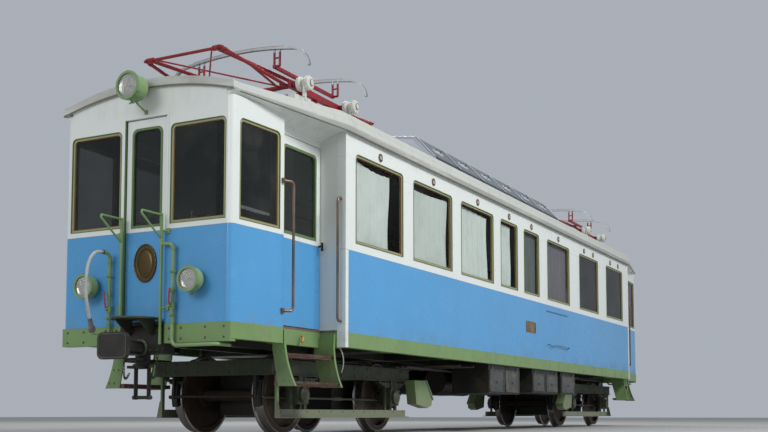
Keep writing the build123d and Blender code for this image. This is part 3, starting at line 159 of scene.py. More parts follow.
class Signal:
    """A shader socket that can stand in Python sums."""

    def __init__(self, tree, socket):
        self.tree = tree
        self.socket = socket

    def maths(self, operation, *others):
        """One Math node on this value and the others."""
        node = self.tree.nodes.new("ShaderNodeMath")
        node.operation = operation
        for socket, value in zip(node.inputs, (self, *others)):
            feed(self.tree, value, socket)
        return Signal(self.tree, node.outputs[0])

    def __add__(self, other):
        return self.maths("ADD", other)

    def __sub__(self, other):
        return self.maths("SUBTRACT", other)

    def __mul__(self, other):
        return self.maths("MULTIPLY", other)

    def __gt__(self, other):
        return self.maths("GREATER_THAN", other)

    def __lt__(self, other):
        return self.maths("LESS_THAN", other)

    def __radd__(self, other):
        return self + other

    def __rmul__(self, other):
        return self * other

    def __rsub__(self, other):
        return (self * -1) + other

    def __abs__(self):
        return self.maths("ABSOLUTE")


def feed(tree, value, socket):
    """Gives a socket a link or a plain value."""
    if isinstance(value, Signal):
        tree.links.new(value.socket, socket)
    elif value is not None:
        if socket.type == "RGBA" and len(value) == 3:
            value = (*value, 1)
        socket.default_value = value


class Finish:
    """One node material that is being written."""

    def __init__(self, name):
        self.material = bpy.data.materials.new(name)
        self.material.use_nodes = True
        self.tree = self.material.node_tree
        self.tree.nodes.clear()
        place = self.node("ShaderNodeTexCoord")
        self.place = Signal(self.tree, place.outputs["Object"])
        parts = self.node("ShaderNodeSeparateXYZ", inputs={0: self.place})
        self.x, self.y, self.z = (Signal(self.tree, s) for s in parts.outputs)

    def node(self, kind, settings=None, inputs=None):
        """Any node: its settings first, then its sockets by name or number."""
        made = self.tree.nodes.new(kind)
        for key, value in (settings or {}).items():
            setattr(made, key, value)
        for key, value in (inputs or {}).items():
            feed(self.tree, value, made.inputs[key])
        return made

    def noise(self, scale, detail=3.0, rough=0.5, stretch=(1, 1, 1)):
        """Noise from 0 to 1 with its mean near 0.5."""
        mapped = self.node("ShaderNodeMapping", inputs={0: self.place, "Scale": stretch})
        made = self.node(
            "ShaderNodeTexNoise",
            inputs={
                "Vector": Signal(self.tree, mapped.outputs[0]),
                "Scale": scale,
                "Detail": detail,
                "Roughness": rough,
            },
        )
        return Signal(self.tree, made.outputs[0])

    def step(self, value, low, high):
        """Smooth rise from 0 to 1 as value goes from low to high."""
        made = self.node(
            "ShaderNodeMapRange",
            {"interpolation_type": "SMOOTHSTEP", "clamp": True},
            {"Value": value, "From Min": low, "From Max": high},
        )
        return Signal(self.tree, made.outputs[0])

    def patches(self, low, high, *pattern):
        """Smooth-edged patches, where noise of this pattern goes from low to high."""
        return self.step(self.noise(*pattern), low, high)

    def band(self, value, low, high):
        """1 between two values and 0 outside them."""
        return (value > low) * (value < high)

    def mix(self, share, first, second):
        """Colour between two colours."""
        made = self.node("ShaderNodeMix", {"data_type": "RGBA"})
        for key, value in ((0, share), (6, first), (7, second)):
            feed(self.tree, value, made.inputs[key])
        return Signal(self.tree, made.outputs[2])

    def vary(self, share, colour, dark, light):
        """The colour between a darker and a lighter tone of itself."""
        return self.mix(share, shade(colour, dark), shade(colour, light))

    def blend(self, share, first, second):
        """Number between two numbers."""
        return share * (second - first) + first

    def bump(self, height, distance=0.001, strength=1.0):
        """Surface normal from a height."""
        made = self.node(
            "ShaderNodeBump",
            inputs={"Height": height, "Distance": distance, "Strength": strength},
        )
        return Signal(self.tree, made.outputs[0])

    def close(self, colour, rough, metal=0.0, normal=None, **more):
        """The shader and the output. Returns the material."""
        inputs = {"Base Color": colour, "Roughness": rough, "Metallic": metal}
        if normal is not None:
            inputs["Normal"] = normal
        inputs.update({key.replace("_", " "): value for key, value in more.items()})
        shader = self.node("ShaderNodeBsdfPrincipled", inputs=inputs)
        output = self.node("ShaderNodeOutputMaterial")
        self.tree.links.new(shader.outputs[0], output.inputs[0])
        return self.material


def shade(colour, factor):
    """The colour made darker or lighter."""
    return tuple(min(1.0, c * factor) for c in colour)


GRIME = (0.20, 0.18, 0.14)
RUST = (0.17, 0.060, 0.022)
SOOT = (0.022, 0.020, 0.018)


def sheet_waves(f, fine=0.25):
    """Normal of hand-beaten, brush-painted sheet: slow waves and faint brush marks."""
    waves = f.noise(1.7, 2.0, 0.4)
    brush = f.noise(90.0, 3.0, 0.6, (1, 1, 0.25)) * (0.0006 * fine / 0.006)
    return f.bump(waves + brush, 0.006, 0.6)


def body_paint(name, colours, inside, glazed=None, brass=None, post=False):
    """Blue under the belt line and ivory above it, faded, streaked and grimed, with a painted
    shadow line along the belt. inside marks the varnished inner faces, glazed a pane with its bead,
    and brass the fittings."""
    f = Finish(name)
    ax, ay = abs(f.x), abs(f.y)
    belt = BELT_Z + (ay > SALOON_Y) * (BELT_END_Z - BELT_Z)
    fade = f.noise(0.55, 3.0, 0.55)
    patch = f.noise(4.5, 5.0, 0.6)
    blue = f.vary(fade, colours.blue, 0.86, 1.12)
    blue = f.mix(f.step(patch, 0.5, 0.8) * 0.22, blue, (0.20, 0.42, 0.68))
    ivory = f.vary(fade, colours.ivory, 0.93, 1.05)
    ivory = f.mix(f.step(patch, 0.55, 0.85) * 0.2, ivory, (0.58, 0.58, 0.50))
    upper = f.z > belt
    if post:
        upper = upper.maths("MAXIMUM", (ay > SALOON_Y - 0.06))
    paint = f.mix(upper, blue, ivory)
    # Painted shadow: a thin dark line along the belt, where the lower sheet's step would throw its
    # shade.
    seam = abs(f.z - belt) < 0.0028
    paint = f.mix(seam * 0.55, paint, (0.05, 0.11, 0.20))
    if post:
        lines = abs(f.z - UPPER_LINE_Z) < 0.0016
        for y in PANEL_LINES_Y:
            lines = lines.maths("MAXIMUM", (abs(f.y - y) < 0.0015) * (f.z < belt))
        lines = lines.maths("MAXIMUM", (abs(f.z - FOOT_LINE_Z) < 0.0015))
        paint = f.mix(lines * 0.35, paint, (0.10, 0.15, 0.20))
    streak = f.patches(0.56, 0.85, 7.0, 5.0, 0.65, (1, 1, 0.05))  # runs down the panels
    under = f.step(f.z, HEAD_Z + 0.1, HEAD_Z - 0.4)
    paint = f.mix(streak * under * 0.16, paint, GRIME)
    foot = f.step(f.z, 1.30, 1.07) * f.patches(0.42, 0.7, 3.2, 6.0, 0.7)
    paint = f.mix(foot * 0.35, paint, GRIME)
    eave = f.step(f.z, 3.05, 3.2) * f.patches(0.45, 0.75, 2.5, 4.0, 0.6, (1, 1, 0.3))
    paint = f.mix(eave * 0.25, paint, (0.30, 0.29, 0.25))
    chips = f.patches(0.70, 0.735, 26.0, 6.0, 0.75)
    edges = f.step(f.z, 1.20, 1.08)
    chips = chips * (edges * 0.9 + 0.02)
    paint = f.mix(chips, paint, RUST)
    rough = f.noise(11.0, 4.0) * 0.22 + 0.20 + foot * 0.25
    grain = f.noise(14.0, 6.0, 0.7, (1, 1, 0.10))
    varnish = f.mix(grain, (0.095, 0.040, 0.015), (0.20, 0.095, 0.038))
    room = inside(f, ax, ay)
    colour = f.mix(room, paint, varnish)
    rough = f.blend(room, rough, 0.32)
    metal, alpha = 0.0, 1.0
    if glazed:
        pane, bead = glazed(f, ax, ay)
        colour = f.mix(bead, colour, shade(colours.green, 0.62))
        if pane:
            # The pane is nearly black and partly opaque: painted shade, standing in for the
            # darkness seen through it.
            colour = f.mix(pane, colour, (0.012, 0.016, 0.014))
            rough = f.blend(pane, rough, 0.02)
            alpha = 1.0 - pane * 0.42
    if brass:
        fitting, tint = brass(f, ax, ay)
        colour = f.mix(fitting, colour, tint)
        rough = f.blend(fitting, rough, 0.35)
        metal = fitting * 0.85
    return f.close(colour, rough, metal, sheet_waves(f), Alpha=alpha, Coat_Weight=0.12)


def weathered(
    name, colour, rough=0.5, metal=0.0, dirt=GRIME, share=0.5, rust=0.0, low=None, hidden=None
):
    """Paint or metal with changing tone, dirt in patches and along the bottom, and rust.
    hidden marks what is under the car, made near black: painted shade under the car, with oil and
    brake dust."""
    f = Finish(name)
    tone = f.noise(1.9, 5.0, 0.6)
    paint = f.vary(tone, colour, 0.78, 1.16)
    patch = f.patches(0.44, 0.72, 6.0, 6.0, 0.68)
    paint = f.mix(patch * share, paint, dirt)
    worn = patch * 0.25 + rough - 0.05
    if rust:
        spots = f.patches(0.62, 0.70, 17.0, 7.0, 0.75) * rust
        paint = f.mix(spots, paint, RUST)
        worn = worn + spots * 0.3
    if low is not None:
        paint = f.mix(f.step(f.z, low[1], low[0]) * 0.75, paint, dirt)
    # Near black where the mask says: painted shade under the car, together with oil and brake dust.
    if hidden:
        paint = f.mix(hidden(f, abs(f.x), abs(f.y)) * 0.93, paint, (0.014, 0.014, 0.011))
    relief = f.noise(30.0, 6.0, 0.65) + f.noise(3.0, 2.0) * 2.0
    return f.close(paint, worn, metal, f.bump(relief, 0.0016, 0.5))


def coat(material, *names):
    """Gives CAD nodes their material."""
    for name in names:
        cad[name].data.materials.clear()
        cad[name].data.materials.append(material)


class Plane:
    """A flat place on the car: an origin and its right, up and outward directions."""

    def __init__(self, origin, right, out, up=(0, 0, 1)):
        self.origin, self.right, self.out, self.up = (
            np.array(v, float) for v in (origin, right, out, up)
        )

    def at(self, u, v, w):
        """Points u to the right, v up and w outwards of the origin, as arrays."""
        u, v, w = np.broadcast_arrays(u, v, w)
        flat = u[..., None] * self.right + v[..., None] * self.up + w[..., None] * self.out
        return self.origin + flat


def side_plane(side, x=SIDE_X):
    """A side wall's face; u runs along +y."""
    return Plane((side * x, 0, 0), (0, 1, 0), (side, 0, 0))


def end_plane(end, y=FACE_Y):
    """An end wall's face; u runs along +x."""
    return Plane((0, end * y, 0), (1, 0, 0), (0, end, 0))


def cab_plane(side, end):
    """A cab side panel's face; u runs from the corner to the entry."""
    run = math.hypot(PANEL_X - END_X, FACE_Y - PANEL_Y)
    along = ((PANEL_X - END_X) / run, (FACE_Y - PANEL_Y) / run)
    return Plane(
        (side * END_X, end * FACE_Y, 0),
        (side * along[0], -end * along[1], 0),
        (side * along[1], end * along[0], 0),
    )


SIDE_PLANES = [side_plane(-1), side_plane(1)]


def grid_faces(rows, columns, wrap_rows, wrap_columns):
    """Quads between the neighbours of a grid whose points are numbered row by row."""
    row = np.arange(rows if wrap_rows else rows - 1)[:, None] + np.zeros((1, 1), int)
    column = np.arange(columns if wrap_columns else columns - 1)[None, :]
    row_on, column_on = (row + 1) % rows, (column + 1) % columns
    corners = [
        row * columns + column,
        row * columns + column_on,
        row_on * columns + column_on,
        row_on * columns + column,
    ]
    return np.stack(corners, axis=-1).reshape(-1, 4)


class Shape:
    """Surfaces gathered into one mesh."""

    def __init__(self):
        self.points, self.faces, self.count = [], [], 0

    def add(self, grids, wrap=False, sheet=False):
        """Adds grids of points, (rows, columns, 3) or (copies, rows, columns, 3). Columns run
        round a closed section. Rows are joined end to end with wrap, or else capped, and a
        sheet is open on all four sides."""
        grids = grids if grids.ndim == 4 else grids[None]
        copies, rows, columns = grids.shape[:3]
        size = rows * columns
        starts = self.count + size * np.arange(copies)
        quads = grid_faces(rows, columns, wrap, not sheet)
        self.faces += (quads[None] + starts[:, None, None]).reshape(-1, 4).tolist()
        if not wrap and not sheet:
            ring = np.arange(columns)
            first = starts[:, None] + ring[::-1][None]
            last = starts[:, None] + (size - columns) + ring[None]
            self.faces += first.tolist() + last.tolist()
        self.points.append(grids.reshape(-1, 3))
        self.count += copies * size
        return self

    def sleeve(self, middle, axis, run, inner, outer, sides=20):
        """Adds a ring round an axis, between two distances along it and two radii."""
        profile = [(run[0], inner), (run[0], outer), (run[1], outer), (run[1], inner)]
        return self.add(lathe(profile, middle, axis, sides), wrap=True)

    def mirror(self, x=False, y=False):
        """Adds a mirrored copy of everything so far."""
        turn = np.array([-1 if x else 1, -1 if y else 1, 1])
        points = np.concatenate(self.points) * turn
        copied = [[i + self.count for i in reversed(face)] for face in self.faces]
        self.points.append(points)
        self.faces += copied
        self.count *= 2
        return self


def piece(name, shape, material, body=CAR, smooth=38):
    """Makes the mesh object of a shape, outward and smooth, riding on its body."""
    mesh = bpy.data.meshes.new(name)
    mesh.from_pydata(np.concatenate(shape.points), [], shape.faces)
    work = bmesh.new()
    work.from_mesh(mesh)
    bmesh.ops.recalc_face_normals(work, faces=work.faces)
    work.to_mesh(mesh)
    work.free()
    mesh.shade_smooth()
    mesh.set_sharp_from_angle(angle=math.radians(smooth))
    mesh.materials.append(material)
    made = bpy.data.objects.new(name, mesh)
    bpy.context.scene.collection.objects.link(made)
    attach(made, body)
    return made


def unit(vectors):
    """Vectors brought to length 1."""
    return vectors / np.linalg.norm(vectors, axis=-1, keepdims=True)


def lathe(profile, middle, axis, sides=24):
    """Surface of revolution: each row of the profile is (distance along the axis, radius),
    and the columns run round the axis."""
    profile = np.array(profile, float)
    axis = unit(np.array(axis, float))
    helper = np.array([0, 0, 1.0]) if abs(axis[2]) < 0.9 else np.array([1.0, 0, 0])
    first = unit(np.cross(axis, helper))
    second = np.cross(axis, first)
    turn = 2 * np.pi * np.arange(sides) / sides
    spoke = np.cos(turn)[:, None] * first + np.sin(turn)[:, None] * second
    along = profile[:, None, :1] * axis
    return np.array(middle, float) + along + profile[:, None, 1:] * spoke


def tube(path, radius, sides=12, up=(0, 0, 1)):
    """Round section carried along a path: at each point, side = tangent x up and
    lift = side x tangent, and the section is radius (cos a side + sin a lift)."""
    path = np.array(path, float)
    radius = np.broadcast_to(np.array(radius, float), len(path))
    tangent = unit(np.gradient(path, axis=0))
    side = unit(np.cross(tangent, np.array(up, float)))
    lift = np.cross(side, tangent)
    turn = 2 * np.pi * np.arange(sides) / sides
    ring = np.cos(turn)[:, None] * side[:, None] + np.sin(turn)[:, None] * lift[:, None]
    return path[:, None] + radius[:, None, None] * ring


def strap(path, width, thickness, up=(0, 0, 1)):
    """Flat bar with eased edges carried along a path, its width along tangent x up."""
    path = np.array(path, float)
    tangent = unit(np.gradient(path, axis=0))
    side = unit(np.cross(tangent, np.array(up, float)))
    lift = np.cross(side, tangent)
    w, t = width / 2, thickness / 2
    e = t * 0.5
    corners = [(w - e, t), (w, t - e), (w, e - t), (w - e, -t)]
    corners += [(-a, -b) for a, b in corners]
    section = np.array(corners)
    ring = section[:, :1] * side[:, None] + section[:, 1:] * lift[:, None]
    return path[:, None] + ring


def arc_points(start, middle, end, count):
    """Points along the parabola through a start, a middle point of its bend, and an end."""
    start, middle, end = (np.array(p, float) for p in (start, middle, end))
    t = np.linspace(0, 1, count)[:, None]
    return (1 - t) ** 2 * start + 2 * t * (1 - t) * middle + t**2 * end


def rounded(width, height, top=0.0, bottom=0.0, steps=6):
    """Outline round a rectangle centred on 0, with its outward directions: quarter circles
    of radius top and bottom at the corners, or one mitred point where a radius is 0."""
    points, out = [], []
    corners = [(1, 1, top), (-1, 1, top), (-1, -1, bottom), (1, -1, bottom)]
    for number, (sx, sy, radius) in enumerate(corners):
        centre = np.array([sx * (width / 2 - radius), sy * (height / 2 - radius)])
        if radius:
            turn = math.pi / 2 * (number + np.linspace(0, 1, steps))
            spoke = np.stack([np.cos(turn), np.sin(turn)], axis=1)
        else:
            spoke = np.array([[sx, sy]], float)
        points.append(centre + radius * spoke)
        out.append(spoke)
    return np.concatenate(points), np.concatenate(out)


def oval(half_width, half_height, steps=40):
    """Outline round an ellipse with its outward directions."""
    turn = 2 * np.pi * np.arange(steps) / steps
    points = np.stack([half_width * np.cos(turn), half_height * np.sin(turn)], axis=1)
    out = unit(np.stack([np.cos(turn) / half_width, np.sin(turn) / half_height], axis=1))
    return points, out


def moulding(plane, place, outline, profile):
    """Profile carried round an outline on a plane: each row of the profile is (distance
    outwards in the plane, height above it)."""
    points, out = outline
    profile = np.array(profile, float)
    flat = points[None] + profile[:, None, :1] * out[None]
    return plane.at(place[0] + flat[..., 0], place[1] + flat[..., 1], profile[:, 1:])


def plate(plane, place, outline, thickness, ease=0.002, base=0.0):
    """Flat plate with eased edges, seated on a plane."""
    rows = [(0, base), (0, base + thickness - ease), (-ease * 0.3, base + thickness - ease * 0.3)]
    return moulding(plane, place, outline, [*rows, (-ease, base + thickness)])


def beam(x, y, z, ease=0.002):
    """Square bar between two x values, two y values and two z values, with eased edges."""
    plane = Plane(((x[0] + x[1]) / 2, (y[0] + y[1]) / 2, z[0]), (1, 0, 0), (0, 0, 1), (0, 1, 0))
    outline = rounded(x[1] - x[0], y[1] - y[0], ease, ease, 2)
    high = z[1] - z[0]
    rows = [(-ease, 0), (0, ease), (0, high - ease), (-ease, high)]
    return moulding(plane, (0, 0), outline, rows)


HEAD = [(0, 1.0), (0.55, 1.0), (0.8, 0.78), (0.85, 0.3)]
DOME = [(0, 1.0), (0.30, 0.88), (0.52, 0.5), (0.58, 0.15)]


def bolts(places, out, radius, profile=HEAD, sides=6):
    """Bolt or rivet heads at many places, one small lathe shape repeated. The profile is in
    radii."""
    places = np.array(places, float).reshape(-1, 3)
    one = lathe(np.array(profile) * radius, (0, 0, 0), out, sides)
    return one[None] + places[:, None, None]


def spread(low, high, count):
    """Even places from low to high."""
    return np.linspace(low, high, count)


def rows_of(plane, u, v, w=0.0):
    """Every pair of u and v on a plane, as places for bolts."""
    u, v = np.meshgrid(np.atleast_1d(u), np.atleast_1d(v))
    return plane.at(u.ravel(), v.ravel(), w)


def bolt_circle(plane, place, radius, count, start=0.0):
    """Places round a circle on a plane, from an angle in degrees."""
    angle = np.radians(np.arange(count) * 360.0 / count + start)
    return plane.at(place[0] + radius * np.cos(angle), place[1] + radius * np.sin(angle), 0.0)


def numbered(stem, *numbers):
    """Node names with numbers behind a stem."""
    return [f"{stem}{n}" for n in numbers]


def glazed_places():
    """(plane, middle, width) of every window that has a frame node."""
    found = []
    for side in (-1, 1):
        found += [(side_plane(side), (y, MID_Z), width) for y, width, _ in side_windows()]
        for end in (-1, 1):
            found.append((end_plane(end), (side * END_WINDOW[0], MID_Z), END_WINDOW[1]))
            found.append((cab_plane(side, end), (CAB_WINDOW[0], MID_Z), CAB_WINDOW[1]))
    return found


def saloon_inside(f, ax, ay):
    """Inner face of a saloon side wall."""
    return (ax < SIDE_X - WALL) * (ay < SALOON_Y - BULKHEAD)


def end_inside(f, ax, ay):
    """Inner face of an end wall."""
    return ay < FACE_Y - WALL


def end_reveals(f, ax, ay):
    """No pane, and the reveals of the gangway doorway, which are green."""
    return None, f.band(ax, 0.2555, 0.2578) * (ay > 7.1965) * (f.z < 3.095)


def cab_inside(f, ax, ay):
    """Inner face of a cab side panel, by the distance from its slanting outer face."""
    out = cab_plane(1, 1).out
    depth = (ax - END_X) * out[0] + (ay - FACE_Y) * out[1]
    return (depth < -0.0425) * (ay < FACE_Y - WALL) * (ay > PANEL_Y + 0.004)


def under_floor(f, ax, ay):
    """The frame's beams behind the solebars and the headstocks."""
    middle = (ay < 7.14) * (ax < 0.93)
    return middle.maths("MAXIMUM", (ay < 5.55) * (ax < 1.17))


def door_inside(f, ax, ay):
    """Inner face of an entry door."""
    return ax < DOOR_X - 0.034


def gangway_inside(f, ax, ay):
    """Inner face of a gangway door."""
    return ay < FACE_Y - 0.0585


def opening(f, across, half, low, high):
    """Inside of an upright opening, by the distance from its middle."""
    return (across < half) * f.band(f.z, low, high)


def entry_glazing(f, ax, ay):
    """Pane of an entry door, and the bead and edges round it."""
    off = abs(ay - DOOR_Y)
    inner, outer = opening(f, off, *ENTRY_PANE), opening(f, off, *ENTRY_BEAD)
    bead = ((ax > DOOR_X + 0.0005) * outer).maths("MAXIMUM", (ax > 0.9775) * inner)
    return f.band(ax, 0.9675, 0.9765) * inner, bead


def entry_fittings(f, ax, ay):
    """Copper guard bars behind the pane, and the black handle."""
    bars = f.band(ax, 0.9552, 0.9672) * (abs(ay - DOOR_Y) < 0.2905) * f.band(f.z, 2.06, 2.9)
    handle = (ax > DOOR_X + 0.006) * f.band(f.z, 1.91, 2.02)
    return bars.maths("MAXIMUM", handle), f.mix(handle, (0.42, 0.17, 0.075), (0.02, 0.018, 0.016))


def gangway_glazing(f, ax, ay):
    """Pane of a gangway door, and the bead and edges round it."""
    inner, outer = opening(f, ax, *GANGWAY_PANE), opening(f, ax, *GANGWAY_BEAD)
    bead = ((ay > DOOR_PLATE_Y + 0.0005) * outer).maths("MAXIMUM", (ay > 7.2015) * inner)
    return f.band(ay, 7.1925, 7.2012) * inner, bead


def gangway_fittings(f, ax, ay):
    """The bare oval plate."""
    return (ay > DOOR_PLATE_Y + 0.0005) * (f.z < 1.9), (0.11, 0.075, 0.030)


def roof_paint(colours):
    """Pale roof paint, dusty, with streaks down the curve and soot near the pantographs."""
    f = Finish("roof_paint")
    ax, ay = abs(f.x), abs(f.y)
    base = f.vary(f.noise(0.8, 4.0, 0.6), colours.roof, 0.9, 1.1)
    base = f.mix(f.step(f.z, 3.300, 3.285) * 0.6, base, shade(colours.ivory, 0.80))
    gutter = f.step(f.z, 3.255, 3.240) * f.patches(0.20, 0.55, 1.6, 5.0, 0.7, (1, 0.5, 3))
    base = f.mix(gutter * 0.75, base, (0.27, 0.265, 0.235))
    streak = f.patches(0.5, 0.8, 9.0, 5.0, 0.65, (0.12, 1, 0.3))
    base = f.mix(streak * 0.32, base, (0.27, 0.26, 0.22))
    soot = f.step(ay, 3.0, 4.6) * f.step(ax, 1.0, 0.3) * f.patches(0.35, 0.7, 2.2, 5.0, 0.65)
    base = f.mix(soot * 0.45, base, (0.14, 0.115, 0.09))
    seam = abs((f.y * (1 / SHEET_PITCH)).maths("FRACT") - 0.5) < 0.0022
    base = f.mix(seam * (f.z > 3.29) * 0.5, base, (0.2, 0.2, 0.18))
    under = f.patches(0.6, 0.72, 20.0, 6.0, 0.7)
    base = f.mix(under * 0.12, base, RUST)
    return f.close(base, f.noise(13.0) * 0.2 + 0.42, normal=sheet_waves(f, 0.6))


def box_paint(colours):
    """Grey aluminium paint of the resistor box, streaked under its ribs, with a painted shadow
    along the foot of each flank.
    """
    f = Finish("box_paint")
    streak = f.patches(0.45, 0.8, 8.0, 5.0, 0.65, (0.15, 1, 0.15))
    base = f.vary(f.noise(1.4, 4.0), colours.aluminium, 0.85, 1.2)
    base = f.mix(streak * 0.30, base, (0.10, 0.10, 0.10))
    hood = f.step(abs(f.y), 2.52, 2.56)
    base = f.mix(hood * 0.7, base, (0.50, 0.54, 0.58))
    # Painted shadow: a near-black strip along the foot of each flank, where the panels shade the
    # gap under them.
    foot = f.step(f.z, 3.672, 3.655) * (abs(f.x) > 0.8) * (abs(f.y) < 2.52)
    base = f.mix(foot * 0.85, base, (0.012, 0.013, 0.014))
    rough = f.noise(16.0) * 0.18 + 0.26
    return f.close(base, rough, 0.55, sheet_waves(f, 0.5))


def wheel_steel():
    """Rusty discs and bright treads, by the distance from the nearest axle."""
    f = Finish("wheel_steel")
    off = abs(abs(abs(f.y) - BOGIE_Y) - AXLE_OFF)
    rise = f.z - AXLE_Z
    radius = (off * off + rise * rise).maths("SQRT")
    ring = f.patches(0.4, 0.7, 10.0, 6.0, 0.7)
    disc = f.mix(ring, (0.050, 0.038, 0.030), (0.115, 0.062, 0.036))
    bright = f.step(radius, 0.398, 0.404)
    colour = f.mix(bright, disc, (0.36, 0.34, 0.32))
    rough = f.blend(bright, ring * 0.2 + 0.55, 0.24)
    return f.close(colour, rough, f.blend(bright, 0.25, 0.95), f.bump(f.noise(50.0, 5.0), 0.0012))


def boards(name, dark, light, width, along="y", worn=0.0, rough=0.55):
    """Wood in boards: grain along the car, narrow dark joints between them, and wear."""
    f = Finish(name)
    stretch = (1, 0.07, 1) if along == "y" else (0.07, 1, 1)
    grain = f.noise(38.0, 6.0, 0.68, stretch)
    broad = f.noise(6.0, 3.0, 0.5, stretch)
    base = f.mix(grain, dark, light)
    base = f.mix(broad * 0.5, base, shade(dark, 0.8))
    across = f.x if along == "y" else f.y
    joint = abs((across * (1 / width)).maths("FRACT") - 0.5) < 0.012
    base = f.mix(joint * 0.8, base, shade(dark, 0.25))
    scuff = f.patches(0.45, 0.75, 9.0, 6.0, 0.7) * worn
    base = f.mix(scuff, base, (0.30, 0.27, 0.22))
    height = grain - joint * 3.0
    return f.close(base, grain * 0.2 + rough, normal=f.bump(height, 0.0012, 0.7))


def cloth(name, colour, fold_tint):
    """Cotton weave on Object coordinates, with faint stains."""
    f = Finish(name)
    warp = (f.y * 5200.0).maths("SINE")
    weft = (f.z * 5200.0).maths("SINE")
    weave = warp * weft
    stain = f.patches(0.45, 0.8, 5.0, 5.0, 0.65)
    base = f.mix(stain * 0.3, tuple(colour), fold_tint)
    base = f.mix(f.patches(0.3, 0.7, 2.4, 3.0) * 0.35, base, shade(colour, 0.86))
    hanging = f.noise(9.0, 4.0, 0.5, (1, 1, 0.16)) * 34.0
    crease = hanging + f.noise(5.0, 3.0, 0.5, (1, 1, 0.6)) * 26.0
    height = f.bump(weave * 0.5 + f.noise(45.0, 4.0) * 4.0 + crease, 0.0006, 0.9)
    return f.close(base, 0.9, normal=height, Sheen_Weight=0.25)


def glass(name, tint, alpha, flutes=0.0, clear=None):
    """Tinted pane with a film of dust; flutes gives upright ribs, clear the alpha of the panes that
    have a curtain behind them. A nearly black tint that is partly opaque is painted shade."""
    f = Finish(name)
    if clear is not None:
        hung = f.band(f.y, -SALOON_Y, 1.95) * (abs(f.x) > 1.15)
        alpha = f.blend(hung, alpha, clear)
    dust = f.patches(0.42, 0.8, 2.6, 5.0, 0.65)
    colour = f.mix(dust * 0.25, tint, (0.16, 0.16, 0.14))
    normal = f.bump(f.noise(0.9, 2.0), 0.002, 0.3)
    if flutes:
        normal = f.bump((f.x * 520.0).maths("SINE"), flutes, 1.0)
    return f.close(colour, dust * 0.10 + 0.015, normal=normal, Alpha=dust * 0.05 + alpha, IOR=1.5)


class RAILCAR_OT_paint(Operator):
    """Coats every carried-over node"""

    bl_idname = "railcar.paint"
    bl_label = "Paint nodes"

    def execute(self, context):
        c = context.scene.railcar_colours
        coat(body_paint("saloon_paint", c, saloon_inside, post=True), "side_walls")
        coat(body_paint("end_paint", c, end_inside, end_reveals), "end_walls")
        coat(body_paint("cab_paint", c, cab_inside), "cab_side_panels", "entry_soffits")
        doors = [n for n in cad if n.startswith("entry_door_")]
        coat(body_paint("entry_door_paint", c, door_inside, entry_glazing, entry_fittings), *doors)
        gangway = (gangway_inside, gangway_glazing, gangway_fittings)
        paint = body_paint("gangway_door_paint", c, *gangway)
        coat(paint, *numbered("gangway_door_", "front", "rear"))
        coat(roof_paint(c), "roof")
        coat(box_paint(c), "roof_resistor_box")

        green = weathered("green_paint", c.green, 0.38, share=0.35, rust=0.35, low=(0.15, 0.75))
        guards = numbered("bogie_", "front_guards", "rear_guards")
        coat(green, "entry_steps", *guards)
        # The beams under the floor are made near black: painted shade under the car, with oil and
        # brake dust.
        beams = weathered("frame_green", c.green, 0.42, share=0.35, rust=0.3, hidden=under_floor)
        coat(beams, "underframe")
        clean = weathered("lamp_green", (0.21, 0.335, 0.145), 0.36, share=0.35, rust=0.25)
        coat(clean, "headlamps", "brake_pipes")
        coat(rail_finish(c), "handrails")
        iron = weathered("oily_iron", c.iron, 0.5, 0.3, dirt=(0.055, 0.043, 0.028), share=0.7)
        coat(iron, "draw_gear", "underfloor_equipment")
        # Footplates and bogie frames: dusty green, darkened further as painted shade, for the shade
        # under the car and on the footplates' undersides.
        dust = (0.05, 0.045, 0.032)
        dusty_shaded = weathered("dull_green", (0.042, 0.055, 0.028), 0.55, 0.1, dust, 0.6, 0.4)
        coat(dusty_shaded, "footplates", *numbered("bogie_", "front_frame", "rear_frame"))
        motors = numbered("bogie_", "front_motors", "rear_motors", "front_brakes", "rear_brakes")
        coat(iron, *motors)
        coat(wheel_steel(), *numbered("wheelset_", 1, 2, 3, 4))
        red = weathered("pantograph_red", c.red, 0.36, dirt=SOOT, share=0.35, rust=0.2)
        arms = [n for n in cad if n.startswith(("pantograph_front_", "pantograph_rear_"))]
        coat(red, *[n for n in arms if not n.endswith("_head")])
        coat(head_finish(c), *[n for n in arms if n.endswith("_head")])
        plank = weathered("plank_paint", (0.60, 0.61, 0.57), 0.5, share=0.5)
        coat(plank, "pantograph_rails")
        coat(weathered("porcelain", (0.62, 0.62, 0.57), 0.15, share=0.45), "pantograph_insulators")
        coat(weathered("olive_varnish", c.olive, 0.34, share=0.25), "window_frames")
        tread = boards("tread_board", shade(c.tread, 0.7), shade(c.tread, 1.4), 0.09, worn=0.55)
        coat(tread, "step_treads")
        coat(bulkhead_finish(c), "bulkheads")
        planks = boards("floor_board", (0.10, 0.065, 0.038), (0.20, 0.14, 0.09), 0.11, worn=0.4)
        coat(planks, "floor")
        coat(desk_finish(), "driver_controls")
        coat(weathered("hose_cover", (0.40, 0.41, 0.41), 0.7, share=0.3), "brake_hose")
        coat(weathered("cast_head", (0.20, 0.20, 0.19), 0.45, 0.5, share=0.5), "hose_coupling")
        # The window panes' nearly black, half-opaque tint is painted shade, standing in for the
        # darkness seen through the glass.
        coat(glass("window_pane", (0.008, 0.011, 0.009), 0.50, clear=0.06), "window_glass")
        return {"FINISHED"}


